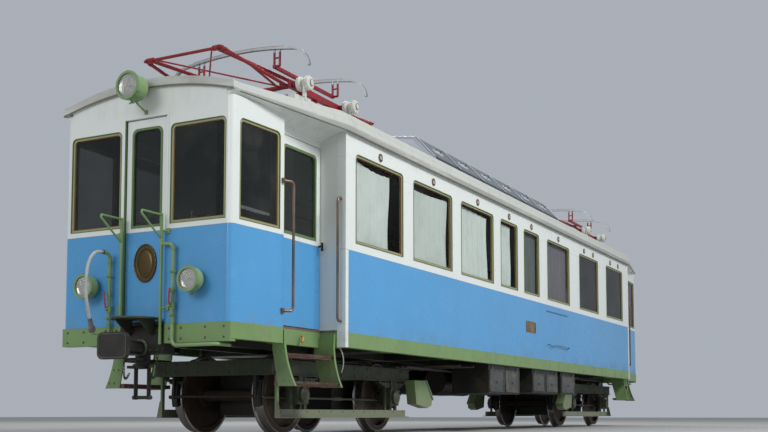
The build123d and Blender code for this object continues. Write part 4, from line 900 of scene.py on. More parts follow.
def rail_finish(colours):
    """Green at the ends; at the entries worn bronze-brown, brightest at hand height."""
    f = Finish("rail_finish")
    ay = abs(f.y)
    tone = f.noise(7.0, 5.0, 0.65)
    green = f.vary(tone, colours.green, 0.75, 1.25)
    bronze = f.mix(tone, (0.16, 0.105, 0.075), (0.30, 0.22, 0.17))
    worn = f.step(abs(f.z - 1.85), 0.45, 0.1) * f.patches(0.3, 0.6, 12.0, 5.0)
    bronze = f.mix(worn * 0.7, bronze, (0.10, 0.095, 0.09))
    end = ay > 7.0
    return f.close(f.mix(end, bronze, green), f.noise(22.0) * 0.2 + 0.25, f.blend(end, 0.7, 0.0))


def head_finish(colours):
    """Red carriers and grey aluminium bows."""
    f = Finish("head_finish")
    tone = f.noise(9.0, 5.0, 0.65)
    red = f.vary(tone, colours.red, 0.7, 1.15)
    grey = f.mix(tone, (0.26, 0.28, 0.30), (0.48, 0.50, 0.52))
    bow = (abs(f.x) > 0.585).maths("MAXIMUM", f.z > 4.118)
    return f.close(f.mix(bow, red, grey), tone * 0.2 + 0.28, f.blend(bow, 0.0, 0.85))


def bulkhead_finish(colours):
    """Ivory outer face, varnished boards inside."""
    f = Finish("bulkhead_finish")
    grain = f.noise(14.0, 6.0, 0.7, (1, 1, 0.08))
    wood = f.mix(grain, (0.10, 0.042, 0.015), (0.22, 0.10, 0.04))
    outer = (abs(f.y) > SALOON_Y - 0.003) * (abs(f.x) > 0.36)
    ivory = f.vary(f.noise(2.0, 4.0), colours.ivory, 0.85, 1.0)
    return f.close(f.mix(outer, wood, ivory), grain * 0.15 + 0.3, normal=sheet_waves(f))


def desk_finish():
    """Dark enamel on the controller, bright metal on its crank."""
    f = Finish("desk_finish")
    tone = f.noise(6.0, 5.0, 0.6)
    enamel = f.mix(tone, (0.030, 0.036, 0.038), (0.070, 0.080, 0.082))
    metal = f.z > 2.058
    crank = f.mix(tone, (0.42, 0.40, 0.36), (0.66, 0.62, 0.55))
    return f.close(f.mix(metal, enamel, crank), f.blend(metal, 0.4, 0.22), metal * 0.95)


class RAILCAR_OT_windows(Operator):
    """Beads and glazing edges round every window"""

    bl_idname = "railcar.windows"
    bl_label = "Window trim"

    def execute(self, context):
        c = context.scene.railcar_colours
        bead = context.scene.railcar_sizes.bead
        beads, edges = Shape(), Shape()
        rows = [(-0.0003, -FRAME_IN), (-0.0003, 0.0016), (-bead * 0.35, 0.0034)]
        rows += [(-bead * 0.8, 0.0022), (-bead, -0.001), (-bead, -FRAME_IN)]
        foot = 0.0004 - PANE_IN
        edge = [(-0.0283, foot), (-0.0283, -0.0115), (-0.0325, -0.0125), (-0.0375, foot)]
        for plane, place, width in glazed_places():
            outline = rounded(width, WINDOW_H, CORNER_R)
            beads.add(moulding(plane, place, outline, rows), wrap=True)
            edges.add(moulding(plane, place, outline, edge), wrap=True)
        green = weathered("bead_green", shade(c.green, 0.55), 0.4, share=0.3)
        brown = weathered("edge_brown", (0.16, 0.070, 0.020), 0.35, share=0.2)
        piece("window_beads", beads, green)
        piece("glazing_edges", edges, brown)

        outline = rounded(0.36, WINDOW_H, CORNER_R)
        lines = [(0.0, 0.0), (0.0, 0.004), (0.008, 0.004), (0.008, 0.0)]
        for end, sign in ENDS:
            grid = moulding(end_plane(sign, DOOR_PLATE_Y), (0, MID_Z), outline, lines)
            one = Shape().add(grid, wrap=True)
            piece(f"gangway_trim_{end}", one, green, f"gangway_door_{end}")
        return {"FINISHED"}


VENT_Z = 3.067
EAVE_END, EAVE_SIDE = (1.0455, 7.163, 3.226), (1.3305, SALOON_Y, 3.186)  # the gutters' corners
END_BEAD_Y = 7.268
PLATE_SPOT = (-0.03, 1.536)  # the blank brass plate, along the wall and up
HATCH_Y, HATCH_Z = (0.69, 1.74), 1.842
WIRE_Y, WIRE_Z, WIRE_DROOP = (0.76, 1.74), 1.318, 0.030


def eave_beads():
    """Bead under the gutters: straight along the sides, z = 3.376 - 0.148 (x / w)^2 over the
    ends."""
    wide, reach, high = EAVE_END
    line = [(wide, -reach, high), (EAVE_SIDE[0], -EAVE_SIDE[1], EAVE_SIDE[2])]
    line += [EAVE_SIDE, EAVE_END]
    bead = Shape()
    for near, far in zip(line, line[1:]):
        bead.add(tube([near, far], 0.008, 8))
    bead.mirror(x=True)
    x = spread(-wide, wide, 33)
    z = 3.376 - 0.148 * (x / wide) ** 2
    for sign in (-1, 1):
        path = np.stack([x, np.full_like(x, sign * END_BEAD_Y), z], axis=1)
        bead.add(tube(path, 0.009, 8, (0, 1, 0)))
    return bead


def round_vents(radius):
    """Rims of the round vents over the windows, and the three louvres in each."""
    vents, louvres = Shape(), Shape()
    rim = [(0, radius), (0.004, radius), (0.006, radius * 0.92)]
    rim += [(0.006, radius * 0.72), (0.002, radius * 0.68), (0.002, 0.002)]
    reach = radius * 0.62
    for plane in SIDE_PLANES:
        for middle, _, covering in side_windows():
            for y in (middle,) if covering else (middle - 0.27, middle + 0.27):
                vents.add(lathe(rim, plane.at(y, VENT_Z, 0.0), plane.out, 24))
                for lift in (-0.5, 0.0, 0.5):
                    half = reach * math.sqrt(1 - lift**2)
                    ends = plane.at(y + np.array([-half, half]), VENT_Z + lift * reach, 0.0045)
                    louvres.add(strap(ends, radius * 0.22, 0.003, plane.out))
    return vents, louvres


def blank_plates():
    """Brass plates with a raised rim on both sides, and the pins in their corners."""
    plates, pins = Shape(), Shape()
    y, z = PLATE_SPOT
    rim = [(0.0, 0.004), (0.0, 0.0062), (-0.008, 0.0062), (-0.008, 0.004)]
    for plane in SIDE_PLANES:
        plates.add(plate(plane, PLATE_SPOT, rounded(0.42, 0.17, 0.012, 0.012), 0.004))
        outline = rounded(0.41, 0.16, 0.01, 0.01)
        plates.add(moulding(plane, PLATE_SPOT, outline, rim), wrap=True)
        spots = rows_of(plane, [y - 0.19, y + 0.19], [z - 0.065, z + 0.065], 0.0045)
        pins.add(bolts(spots, plane.out, 0.005, DOME, 8))
    return plates, pins


def grab_wires(plane):
    """A wire on two posts. It droops by a half sine over its first and its last quarter."""
    run = spread(0, 1, 25)
    sag = WIRE_Z - WIRE_DROOP * np.sin(np.pi * np.clip(run * 4, 0, 1)) * (run < 0.25)
    sag = sag - WIRE_DROOP * np.sin(np.pi * np.clip((run - 0.75) * 4, 0, 1)) * (run > 0.75)
    along = WIRE_Y[0] + (WIRE_Y[1] - WIRE_Y[0]) * run
    wires = Shape().add(tube(plane.at(along, sag, 0.028), 0.005, 8, plane.out))
    for y in WIRE_Y:
        wires.add(tube(plane.at(y, WIRE_Z, np.array([0.0, 0.031])), 0.006, 8))
    return wires


def panel_rivets():
    """Domed rivets along the feet of all walls, under the belt and on the saloon's posts."""
    rivets = Shape()

    def row(plane, u, v, head=0.0042):
        rivets.add(bolts(rows_of(plane, u, v), plane.out, head, DOME, 6))

    along = np.arange(-SALOON_Y + 0.12, SALOON_Y - 0.1, 0.155)
    for side, plane in zip((-1, 1), SIDE_PLANES):
        row(plane, along, FOOT_RIVETS_Z)
        row(plane, along, 1.925, 0.0036)
        for end in (-1, 1):
            row(cab_plane(side, end), spread(0.06, 0.76, 6), FOOT_RIVETS_Z)
            row(plane, end * (SALOON_Y - 0.03), spread(1.0, 3.1, 15))
    across = np.concatenate([spread(-0.90, -0.33, 5), spread(0.33, 0.90, 5)])
    for end in (-1, 1):
        row(end_plane(end), across, FOOT_RIVETS_Z)
    return rivets


class RAILCAR_OT_body_trim(Operator):
    """Eave beads, round vents, plates, hatch line, grab wires and panel rivets"""

    bl_idname = "railcar.body_trim"
    bl_label = "Body trim"

    def execute(self, context):
        grey = weathered("eave_grey", (0.17, 0.17, 0.155), 0.5, share=0.5)
        piece("eave_beads", eave_beads(), grey)

        vents, louvres = round_vents(context.scene.railcar_sizes.vent)
        brass = weathered("vent_brass", (0.20, 0.11, 0.045), 0.35, 0.7, share=0.5)
        pale = weathered("vent_louvre", (0.55, 0.52, 0.45), 0.5, share=0.3)
        piece("round_vents", vents, brass)
        piece("vent_louvres", louvres, pale)

        plates, pins = blank_plates()
        brass = weathered("plate_brass", (0.34, 0.22, 0.09), 0.32, 0.85, dirt=(0.09, 0.07, 0.04))
        piece("blank_plates", plates, brass)

        plane = side_plane(1)
        line = strap(plane.at(np.array(HATCH_Y), HATCH_Z, 0.0035), 0.016, 0.006, plane.out)
        heads = plane.at(np.array([0.80, 1.27]), HATCH_Z, 0.0065)
        hatch = Shape().add(line).add(bolts(heads, plane.out, 0.006, DOME, 8))
        blue = weathered("hatch_blue", (0.035, 0.10, 0.22), 0.4)
        piece("hatch_edge", hatch, blue)
        iron = weathered("wire_iron", (0.05, 0.05, 0.045), 0.4, 0.6)
        piece("grab_wires", grab_wires(plane), iron)

        tone = weathered("rivet_paint", (0.30, 0.44, 0.55), 0.4, share=0.3)
        piece("panel_rivets", panel_rivets(), tone)
        piece("plate_pins", pins, tone)
        return {"FINISHED"}


# Headlamps: x, z, rim radius, distance of the rim's face in front of the end wall
LAMPS = [(0.0, 3.335, 0.138, 0.290), (-0.635, 1.470, 0.120, 0.150), (0.635, 1.470, 0.120, 0.150)]
# Bulb: distance behind the rim's face, radius
BULB = [(-0.036, 0.006), (-0.030, 0.011), (-0.024, 0.0125), (-0.018, 0.009), (-0.015, 0.003)]


class RAILCAR_OT_lamps(Operator):
    """Glasses, reflectors, bulbs, rim clips and wing nuts of the headlamps"""

    bl_idname = "railcar.lamps"
    bl_label = "Headlamps"

    def execute(self, context):
        lenses, dishes, bulbs, clips = Shape(), Shape(), Shape(), Shape()
        share = np.linspace(0, 1, 9)[1:]
        for end, (x, z, radius, reach) in [(end, lamp) for end in (-1, 1) for lamp in LAMPS]:
            out = (0, end, 0)
            face = np.array([x, end * (FACE_Y + reach), z])
            bowl = radius - 0.0225
            dome = [(-0.016 + 0.013 * (1 - s**2), bowl * s) for s in share[:-1]]
            back = [(-0.019 + 0.012 * (1 - s**2), bowl * s) for s in share[-2::-1]]
            rim = [(-0.016, bowl), (-0.022, bowl)]
            lenses.add(lathe([*dome, *rim, *back], face, out, 40))
            dish = [(-0.024 - 0.013 * math.sqrt(1 - s**2), bowl * s) for s in share]
            skin = [(a - 0.0015, r) for a, r in reversed(dish)]
            dishes.add(lathe([*dish, *skin], face, out, 40))
            bulbs.add(lathe(BULB, face, out, 16))
            clips.sleeve(face, out, (-0.006, -0.013), radius, radius + 0.0025, 48)
            for angle in np.radians((90, 210, 330)):
                spoke = np.array([math.cos(angle), 0, math.sin(angle)])
                clip = face + spoke * (radius + 0.004)
                ends = [clip - (0, end * 0.052, 0), clip - (0, end * 0.004, 0)]
                clips.add(strap(ends, 0.016, 0.005, spoke))
                clips.add(bolts(clip + spoke * 0.001 - (0, end * 0.030, 0), spoke, 0.0065))
            nut = face - (0, end * 0.075, radius - 0.006)
            clips.add(lathe([(0, 0.010), (0.026, 0.010), (0.028, 0.006)], nut, (0, 0, -1), 12))
            wing = nut - (0, 0, 0.018)
            for hand in (-1, 1):
                clips.add(strap([wing, wing + (hand * 0.030, 0, -0.010)], 0.015, 0.004, (0, 1, 0)))
        glazing = glass("lamp_glass", (0.55, 0.57, 0.52), 0.35, 0.0009)
        lens = piece("lamp_glasses", lenses, glazing)
        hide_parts("lamp_lenses")
        tarnish = (0.30, 0.26, 0.18)
        silver = weathered("lamp_silver", (0.80, 0.80, 0.76), 0.10, 1.0, dirt=tarnish, share=0.2)
        piece("lamp_reflectors", dishes, silver)
        piece("lamp_bulbs", bulbs, glass("bulb_glass", (0.7, 0.68, 0.6), 0.8))
        green = weathered("clip_green", (0.15, 0.28, 0.11), 0.35, share=0.3, rust=0.3)
        piece("lamp_clips", clips, green)
        return {"FINISHED"}


OVAL_Z = 1.674  # middle of the bare oval plate on a gangway door


class RAILCAR_OT_ovals(Operator):
    """Rope rim and plain boss of the bare oval plates on the gangway doors"""

    bl_idname = "railcar.ovals"
    bl_label = "Oval plates"

    def execute(self, context):
        colour = context.scene.railcar_colours.bronze
        bronze = weathered("oval_bronze", colour, 0.34, 0.8, dirt=(0.03, 0.025, 0.018))
        # Rope: a small circle that swells 24 times on its way round an ellipse
        turn = 2 * np.pi * np.arange(8)[:, None] / 8
        swell = 0.0062 + 0.0016 * np.sin(np.arange(96) * 2 * np.pi * 24 / 96)
        points, out = oval(0.131, 0.180, 96)
        rope = points[None] + (np.cos(turn) * swell)[..., None] * out[None]
        # Boss: rows of ellipses, shrinking by a cosine and rising as a quarter circle
        share = np.cos(np.linspace(0.02, np.pi / 2, 10))[:, None]
        circle, _ = oval(1.0, 1.0, 64)
        boss = circle[None] * (0.088, 0.128) * share[..., None]
        ring = [(0.0, 0.0), (0.0, 0.004), (0.005, 0.005), (0.009, 0.0)]
        for end, sign in ENDS:
            plane = end_plane(sign, 7.223)
            shape = Shape()
            lift = np.sin(turn) * swell + 0.002
            shape.add(plane.at(rope[..., 0], rope[..., 1] + OVAL_Z, lift), wrap=True)
            rise = 0.009 * np.sqrt(1 - share**2)
            shape.add(plane.at(boss[..., 0], boss[..., 1] + OVAL_Z, rise))
            shape.add(moulding(plane, (0, OVAL_Z), oval(0.094, 0.134, 72), ring), wrap=True)
            spots = plane.at(0.0, OVAL_Z + np.array([-0.157, 0.157]), 0.0)
            shape.add(bolts(spots, plane.out, 0.007, DOME, 10))
            piece(f"oval_rim_{end}", shape, bronze, f"gangway_door_{end}")
        return {"FINISHED"}


# Brake hose route, repeated from the part's source: x, distance in front of the end wall, z
HOSE_ROUTE = [
    (-0.385, 0.1293, 1.790),
    (-0.385, 0.225, 1.790),
    (-0.386, 0.300, 1.732),
    (-0.390, 0.345, 1.630),
    (-0.398, 0.352, 1.490),
    (-0.410, 0.335, 1.350),
    (-0.424, 0.290, 1.220),
    (-0.438, 0.240, 1.115),
]
PIPE_X, PIPE_OUT, PIPE_R = 0.385, 0.045, 0.0172  # upright brake pipes, and their clips' bore
WING_NUT = [(0, 0.008), (0.016, 0.008), (0.018, 0.005)]


class RAILCAR_OT_brake_gear(Operator):
    """Brake hose, cock handles, clips with wing nuts and pipe couplings"""

    bl_idname = "railcar.brake_gear"
    bl_label = "Brake gear"

    def execute(self, context):
        radius = context.scene.railcar_sizes.hose
        route = [np.array([x, -FACE_Y - reach, z]) for x, reach, z in HOSE_ROUTE]
        curve = bpy.data.curves.new("brake_air_hose", "CURVE")
        curve.dimensions = "3D"
        spline = curve.splines.new("NURBS")
        spline.points.add(len(route) - 1)
        for point, place in zip(spline.points, route):
            point.co = (*place, 1)
        spline.order_u = 3
        spline.use_endpoint_u = True
        spline.resolution_u = 12
        curve.bevel_depth = radius
        curve.bevel_resolution = 5
        curve.use_fill_caps = True
        cover = Finish("hose_cover_ribbed")
        wrap = (cover.z * 900.0).maths("SINE")
        tone = cover.mix(cover.noise(14.0, 5.0), (0.33, 0.34, 0.34), (0.52, 0.53, 0.52))
        curve.materials.append(cover.close(tone, 0.75, normal=cover.bump(wrap, 0.0005, 0.5)))
        hose = bpy.data.objects.new("brake_air_hose", curve)
        context.scene.collection.objects.link(hose)
        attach(hose, CAR)
        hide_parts("brake_hose")

        bands, handles, clips = Shape(), Shape(), Shape()
        bands.sleeve(route[0], (0, -1, 0), (0.004, 0.026), 0.0192, 0.021)
        bands.sleeve(route[-1], route[-1] - route[-2], (-0.030, -0.006), PIPE_R, 0.0215)
        steel = weathered("band_steel", (0.20, 0.20, 0.19), 0.4, 0.8, share=0.4)
        piece("hose_bands", bands, steel)
        for end, side in CORNERS:
            out = np.array([0, end, 0])
            pipe = np.array([side * PIPE_X, end * (FACE_Y + PIPE_OUT), 0])
            front = pipe + out * 0.041 + (0, 0, 1.24)
            bend, tip = out * 0.022 + (0, 0, 0.04), out * 0.012 + (side * 0.012, 0, 0.165)
            path = arc_points(front, front + bend, front + tip, 12)
            handles.add(strap(path, 0.020, 0.007, (0, 1, 0)))
            clips.add(bolts(front, out, 0.014))
            for z in (1.56, 1.15):
                spot = pipe + (0, 0, z)
                clips.sleeve(spot, (0, 0, 1), (-0.012, 0.012), PIPE_R, 0.0205)
                nut = spot + out * 0.0205
                clips.add(lathe(WING_NUT, nut, out, 10))
                for hand in (-1, 1):
                    wing = [nut + out * 0.010, nut + out * 0.018 + (hand * 0.024, 0, 0.004)]
                    clips.add(strap(wing, 0.011, 0.0035, (0, 1, 0)))
            for z in (1.095, 1.385, 1.70 if side < 0 else 1.79):
                clips.sleeve(pipe + (0, 0, z), (0, 0, 1), (-0.016, 0.016), PIPE_R, 0.025, 6)
        red = weathered("handle_red", (0.36, 0.030, 0.018), 0.35, share=0.3)
        piece("cock_handles", handles, red)
        green = weathered("clip_paint", (0.17, 0.30, 0.12), 0.38, share=0.35)
        piece("pipe_clips", clips, green)
        return {"FINISHED"}


COUPLER_Z = 0.86  # middle of the draw gear


def chain_links(hang):
    """Oval links along a hanging line, each turned by a quarter from the one before it:
    6 points round the wire, carried round middle + reach cos t along + 10.5 mm sin t across."""
    links = []
    turn = np.linspace(0, 2 * np.pi, 17)[:-1]
    ring = 2 * np.pi * np.arange(6)[None, :, None] / 6
    for number, (near, far) in enumerate(zip(hang, hang[1:])):
        along = unit(far - near)
        across = unit(np.cross(along, (0, 1, 0)))
        if number % 2:
            across = np.cross(along, across)
        reach = np.linalg.norm(far - near) * 0.72
        path = (near + far) / 2 + np.outer(np.cos(turn) * reach, along)
        path = path + np.outer(np.sin(turn) * 0.0105, across)
        normal = np.cross(along, across)
        tangent = unit(np.roll(path, -1, axis=0) - np.roll(path, 1, axis=0))
        lift = np.cross(tangent, normal)
        wire = np.cos(ring) * lift[:, None] + np.sin(ring) * normal
        links.append(path[:, None] + 0.0036 * wire)
    return np.stack(links)


class RAILCAR_OT_headstocks(Operator):
    """Bolts, collars and safety chains of the headstocks and draw gear"""

    bl_idname = "railcar.headstocks"
    bl_label = "Headstocks"

    def execute(self, context):
        bolt = context.scene.railcar_sizes.bolt
        studs, chain = Shape(), Shape()
        collar = [(0, 0.0625), (0, 0.088), (0.014, 0.088), (0.020, 0.080), (0.020, 0.0625)]
        lip = [(0.0, 0.0), (0.0, 0.003), (-0.012, 0.003), (-0.012, 0.0)]
        for end in (-1, 1):
            out = (0, end, 0)
            across = [-0.95, -0.74, -0.46, -0.32, 0.32, 0.46, 0.74, 0.95]
            studs.add(bolts(rows_of(end_plane(end), across, [0.935, 1.035]), out, bolt))
            front = end_plane(end, FACE_Y + 0.02)
            studs.add(bolts(rows_of(front, [-0.20, -0.11, 0.11, 0.20], [0.835, 1.02]), out, bolt))
            middle, buffer = (0, COUPLER_Z), end_plane(end, FACE_Y + 0.42)
            studs.add(moulding(buffer, middle, rounded(0.340, 0.230, 0.05, 0.05), lip), wrap=True)
            studs.add(lathe(collar, front.at(0, COUPLER_Z, 0), out, 32), wrap=True)
            spots = bolt_circle(end_plane(end, FACE_Y + 0.038), middle, 0.076, 6, 30)
            studs.add(bolts(spots, out, 0.0075))
            for hand in (-1, 1):
                spots = [(hand * 0.095, end * (FACE_Y - 0.008), z) for z in (0.39, 0.69)]
                studs.add(bolts(spots, (hand, 0, 0), 0.022))
                hang = [(0.20, 0.022, 0.80), (0.205, 0.045, 0.46), (0.13, 0.03, 0.62)]
                hang = [(hand * x, end * (FACE_Y + reach), z) for x, reach, z in hang]
                chain.add(chain_links(arc_points(*hang, 17)), wrap=True)
        iron = weathered("stud_iron", (0.060, 0.070, 0.050), 0.5, 0.3, share=0.4, rust=0.5)
        piece("headstock_bolts", studs, iron)
        links = weathered("chain_iron", (0.075, 0.070, 0.062), 0.5, 0.6, rust=0.6)
        piece("safety_chains", chain, links)
        return {"FINISHED"}


STEP_FRONT_Y, STEP_BACK_Y = -6.4265, -5.6395  # outer faces of the steps' two stringers
LOOP_Y = -5.60


class RAILCAR_OT_steps(Operator):
    """Bolts, nosings and grab wires of the entrance steps"""

    bl_idname = "railcar.steps"
    bl_label = "Entrance steps"

    def execute(self, context):
        studs, nosings, wires = Shape(), Shape(), Shape()
        # Height of a pair of bolts, and x of the stringer's outer edge there
        for z, x in ((0.84, 1.088), (0.56, 1.176), (0.70, 1.118), (0.98, 1.073)):
            spots = [(x - 0.035, STEP_FRONT_Y, z), (x - 0.10, STEP_FRONT_Y, z)]
            studs.add(bolts(spots, (0, -1, 0), 0.011))
        for z, x in ((0.98, 1.175), (0.80, 1.19), (0.60, 1.245)):
            spots = [(x - 0.02, STEP_BACK_Y, z), (x - 0.09, STEP_BACK_Y, z)]
            studs.add(bolts(spots, (0, 1, 0), 0.010))
        # Top of a tread, and x of its edge at its front and rear
        for z, near, far in ((0.831, 1.066, 1.168), (0.554, 1.168, 1.243)):
            path = np.array([(near + 0.0045, -6.409, z - 0.016), (far + 0.0045, -5.657, z - 0.016)])
            nosings.add(strap(path, 0.030, 0.004, (1, -0.12, 0)))
            along = spread(0.08, 0.92, 5)[:, None]
            spots = path[0] + (path[1] - path[0]) * along + (0.002, 0, 0)
            studs.add(bolts(spots, (1, -0.12, 0), 0.006, DOME, 8))
        bend = [(1.225, LOOP_Y, 0.905), (1.29, LOOP_Y, 0.78), (1.235, LOOP_Y, 0.66)]
        wires.add(tube(arc_points(*bend, 14), 0.006, 8, (0, 1, 0)))
        end = [bend[0], (1.20, LOOP_Y, 0.915), (1.18, LOOP_Y, 0.917)]
        wires.add(tube(arc_points(*end, 6), 0.006, 8, (0, 1, 0)))
        # The amber pull in the step recess is a drop-shaped tube
        path = arc_points((1.006, -6.02, 1.015), (1.055, -6.03, 1.02), (1.040, -6.06, 0.955), 9)
        hook = Shape().add(tube(path, spread(0.008, 0.017, 9), 10, (0, 1, 0)))
        for shape in (studs, nosings, wires, hook):
            shape.mirror(x=True).mirror(y=True)
        iron = weathered("step_studs", (0.13, 0.22, 0.085), 0.45, share=0.4, rust=0.5)
        piece("step_bolts", studs, iron)
        brown = weathered("nosing_iron", (0.10, 0.055, 0.035), 0.4, 0.6, share=0.4, rust=0.4)
        piece("step_nosings", nosings, brown)
        pale = weathered("pale_wire", (0.45, 0.46, 0.40), 0.4, 0.5)
        piece("step_wires", wires, pale)
        amber = weathered("amber_pull", (0.55, 0.24, 0.03), 0.3, share=0.2)
        piece("door_release_pulls", hook, amber)
        return {"FINISHED"}


# Axle box cover and oil cup: distance out from their seat, radius
AXLE_COVER = [(0, 0.083), (0.006, 0.083), (0.009, 0.078), (0.009, 0.060)]
AXLE_COVER += [(0.020, 0.046), (0.024, 0.020), (0.024, 0.003)]
OIL_CUP = [(0, 0.012), (0.02, 0.012), (0.024, 0.016), (0.034, 0.014), (0.036, 0.004)]
TURNBUCKLE = [(-0.09, 0.016), (-0.085, 0.022), (0.085, 0.022), (0.09, 0.016)]
TYRE_LINE = [(0.0, 0.352), (0.003, 0.349), (0.003, 0.343), (0.0, 0.340)]
BEAM_ROWS_Z = [0.665, 0.755]  # bolt rows along a bogie's beams
SPRING_BOLT_X, ROD_X, ROD_Z = 0.785, 0.60, 0.405


def axle_box(studs, cups, side, axle):
    """Adds the cover, bolts, spring clips and oil cup of one axle box."""
    out = (side, 0, 0)
    studs.add(lathe(AXLE_COVER, (side * 0.826, axle, AXLE_Z), out, 32))
    ring = bolt_circle(side_plane(side, 0.834), (axle, AXLE_Z), 0.071, 6)
    studs.add(bolts(ring, out, 0.0085))
    corners = rows_of(side_plane(side, 0.80), [axle - 0.09, axle + 0.09], [0.36, 0.515])
    studs.add(bolts(corners, out, 0.010))
    cups.add(lathe(OIL_CUP, (side * 0.81, axle + 0.06, 0.50), (side, 0, 0.8), 12))
    face = side_plane(side, BOGIE_SIDE_X)
    for hand in (-1, 1):
        studs.add(bolts(rows_of(face, axle + hand * 0.135, spread(0.34, 0.60, 5)), out, 0.009))
        clip = np.array([side * SPRING_BOLT_X, axle + hand * 0.055, 0])
        studs.add(tube([clip + (0, 0, 0.545), clip + (0, 0, 0.635)], 0.008, 8, (0, 1, 0)))
        studs.add(bolts(clip + (0, 0, 0.541), (0, 0, -1), 0.012))
        studs.add(bolts((side * 0.765, axle + hand * 0.325, 0.615), out, 0.016))
        for x in (0.692, 0.778):
            strap_foot = np.array([side * x, axle + hand * 0.20, 0.560])
            studs.add(strap([strap_foot, strap_foot + (0, 0, 0.0575)], 0.026, 0.005, (1, 0, 0)))


class RAILCAR_OT_running_gear(Operator):
    """Axle box covers, spring clips, frame bolts and brake rods of both bogies"""

    bl_idname = "railcar.running_gear"
    bl_label = "Running gear"

    def execute(self, context):
        bolt = context.scene.railcar_sizes.bolt
        iron = weathered("bogie_studs", (0.075, 0.085, 0.055), 0.55, 0.2, share=0.6, rust=0.6)
        brass = weathered("oil_cup", (0.20, 0.15, 0.06), 0.4, 0.7, share=0.6)
        for body, middle in BOGIES.items():
            studs, cups = Shape(), Shape()
            for side in (-1, 1):
                for off in (-AXLE_OFF, AXLE_OFF):
                    axle_box(studs, cups, side, middle + off)
                face = side_plane(side, BOGIE_SIDE_X)
                along = np.array([-1.5, -1.35, -0.45, -0.15, 0.15, 0.45, 1.35, 1.5]) + middle
                studs.add(bolts(rows_of(face, along, BEAM_ROWS_Z), face.out, bolt))
                guard = rows_of(face, middle + spread(-1.38, 1.38, 12), 0.262)
                studs.add(bolts(guard, face.out, 0.010, DOME, 8))
                # Brake pull rod with turnbuckle, inside the frame
                rod = np.array([side * ROD_X, middle, ROD_Z])
                studs.add(tube([rod - (0, 1.49, 0), rod + (0, 1.49, 0)], 0.0125, 10))
                studs.add(lathe(TURNBUCKLE, rod, (0, 1, 0), 6))
            outward = np.sign(middle)
            face = end_plane(outward, abs(middle) + 1.55)
            across = np.concatenate([spread(-0.62, -0.2, 4), spread(0.2, 0.62, 4)])
            studs.add(bolts(rows_of(face, across, BEAM_ROWS_Z), face.out, bolt))
            piece(f"{body}_bolts", studs, iron, body)
            piece(f"{body}_oil_cups", cups, brass, body)
        for number, axle in enumerate(AXLES, 1):
            rims = Shape()
            for side in (-1, 1):
                out = (side, 0, 0)
                rims.add(lathe(TYRE_LINE, (side * 0.5655, axle, AXLE_Z), out, 56), wrap=True)
                spots = bolt_circle(side_plane(side, 0.5525), (axle, AXLE_Z), 0.15, 8, 10)
                rims.add(bolts(spots, out, 0.012))
            piece(f"wheel_rings_{number}", rims, iron, f"wheelset_{number}")
        return {"FINISHED"}


# Underfloor boxes: front and rear end, and height of the bottom
BOXES = [(0.15, 1.35, 0.56), (1.5, 2.25, 0.56), (-1.6, -0.4, 0.52)]
BOX_TOP_Z = 0.875


class RAILCAR_OT_underfloor(Operator):
    """Lids, straps and conduits of the underfloor equipment"""

    bl_idname = "railcar.underfloor"
    bl_label = "Underfloor equipment"

    def execute(self, context):
        lids, straps, pipes = Shape(), Shape(), Shape()
        rim = [(0, 0.008), (0, 0.013), (-0.014, 0.013), (-0.014, 0.008)]
        for side, (y0, y1, z0) in [(side, box) for side in (-1, 1) for box in BOXES]:
            plane = side_plane(side, 1.245)
            width, height = y1 - y0, BOX_TOP_Z - z0
            count = 2 if width > 1 else 1
            part = width / count
            reach = part / 2 - 0.05
            outline = rounded(part - 0.06, height - 0.05, 0.02, 0.02)
            for number in range(count):
                y = y0 + part * (number + 0.5)
                spot = (y, z0 + height / 2)
                lids.add(plate(plane, spot, outline, 0.008, 0.003))
                lids.add(moulding(plane, spot, outline, rim), wrap=True)
                rows = spread(z0 + 0.06, z0 + height - 0.06, 3)
                spots = rows_of(plane, [y - reach, y + reach], rows, 0.008)
                straps.add(bolts(spots, plane.out, 0.009))
                latch = plane.at(y + np.array([-0.03, 0.03]), z0 + height * 0.45, 0.018)
                straps.add(strap(latch, 0.022, 0.010, plane.out))
            for y in (y0 + 0.12, y0 + width - 0.12):
                hang = [(side * 1.250, y, z0 + 0.02), (side * 1.250, y, 0.90)]
                straps.add(strap(hang, 0.040, 0.009, plane.out))
        for y in (-2.35, -1.9, 0.95, 1.45, 2.4, 2.75):
            pipes.add(tube([(-1.15, y, 0.868), (1.15, y, 0.868)], 0.014, 10))
        for x in (-0.58, -0.50, 0.45, 0.53, 0.61):
            pipes.add(tube([(x, -2.85, 0.845), (x, 2.85, 0.845)], 0.017, 12, (1, 0, 0)))
        for x, y in [(x, y) for x in (-0.54, 0.53) for y in (-2.2, 0.0, 2.2)]:
            straps.add(beam((x - 0.14, x + 0.14), (y - 0.02, y + 0.02), (0.860, 0.874)))
        steel = weathered("pipe_steel", (0.10, 0.095, 0.085), 0.5, 0.5, share=0.6, rust=0.4)
        grey = weathered("box_lids", (0.060, 0.066, 0.062), 0.5, 0.2, share=0.65, rust=0.4)
        piece("equipment_lids", lids, grey)
        piece("equipment_straps", straps, steel)
        piece("underfloor_pipes", pipes, steel)
        return {"FINISHED"}


def roof_height(x):
    """Height of the saloon roof's outer surface: a circle through the haunches and crown."""
    half, edge, crown = 1.24, 3.41, 3.61
    rise = crown - edge
    radius = (half**2 + rise**2) / (2 * rise)
    return crown - radius + np.sqrt(radius**2 - np.asarray(x, float) ** 2)


BOX_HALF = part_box("roof_resistor_box")[1].y
PANEL_COUNT = 6
# The box's slanting flank runs from its shoulder to its top edge: x and z of both
SHOULDER, TOP_EDGE = np.array([0.890, 3.640]), np.array([0.620, 3.930])
CABLE_X, CABLE_R = 0.50, 0.016


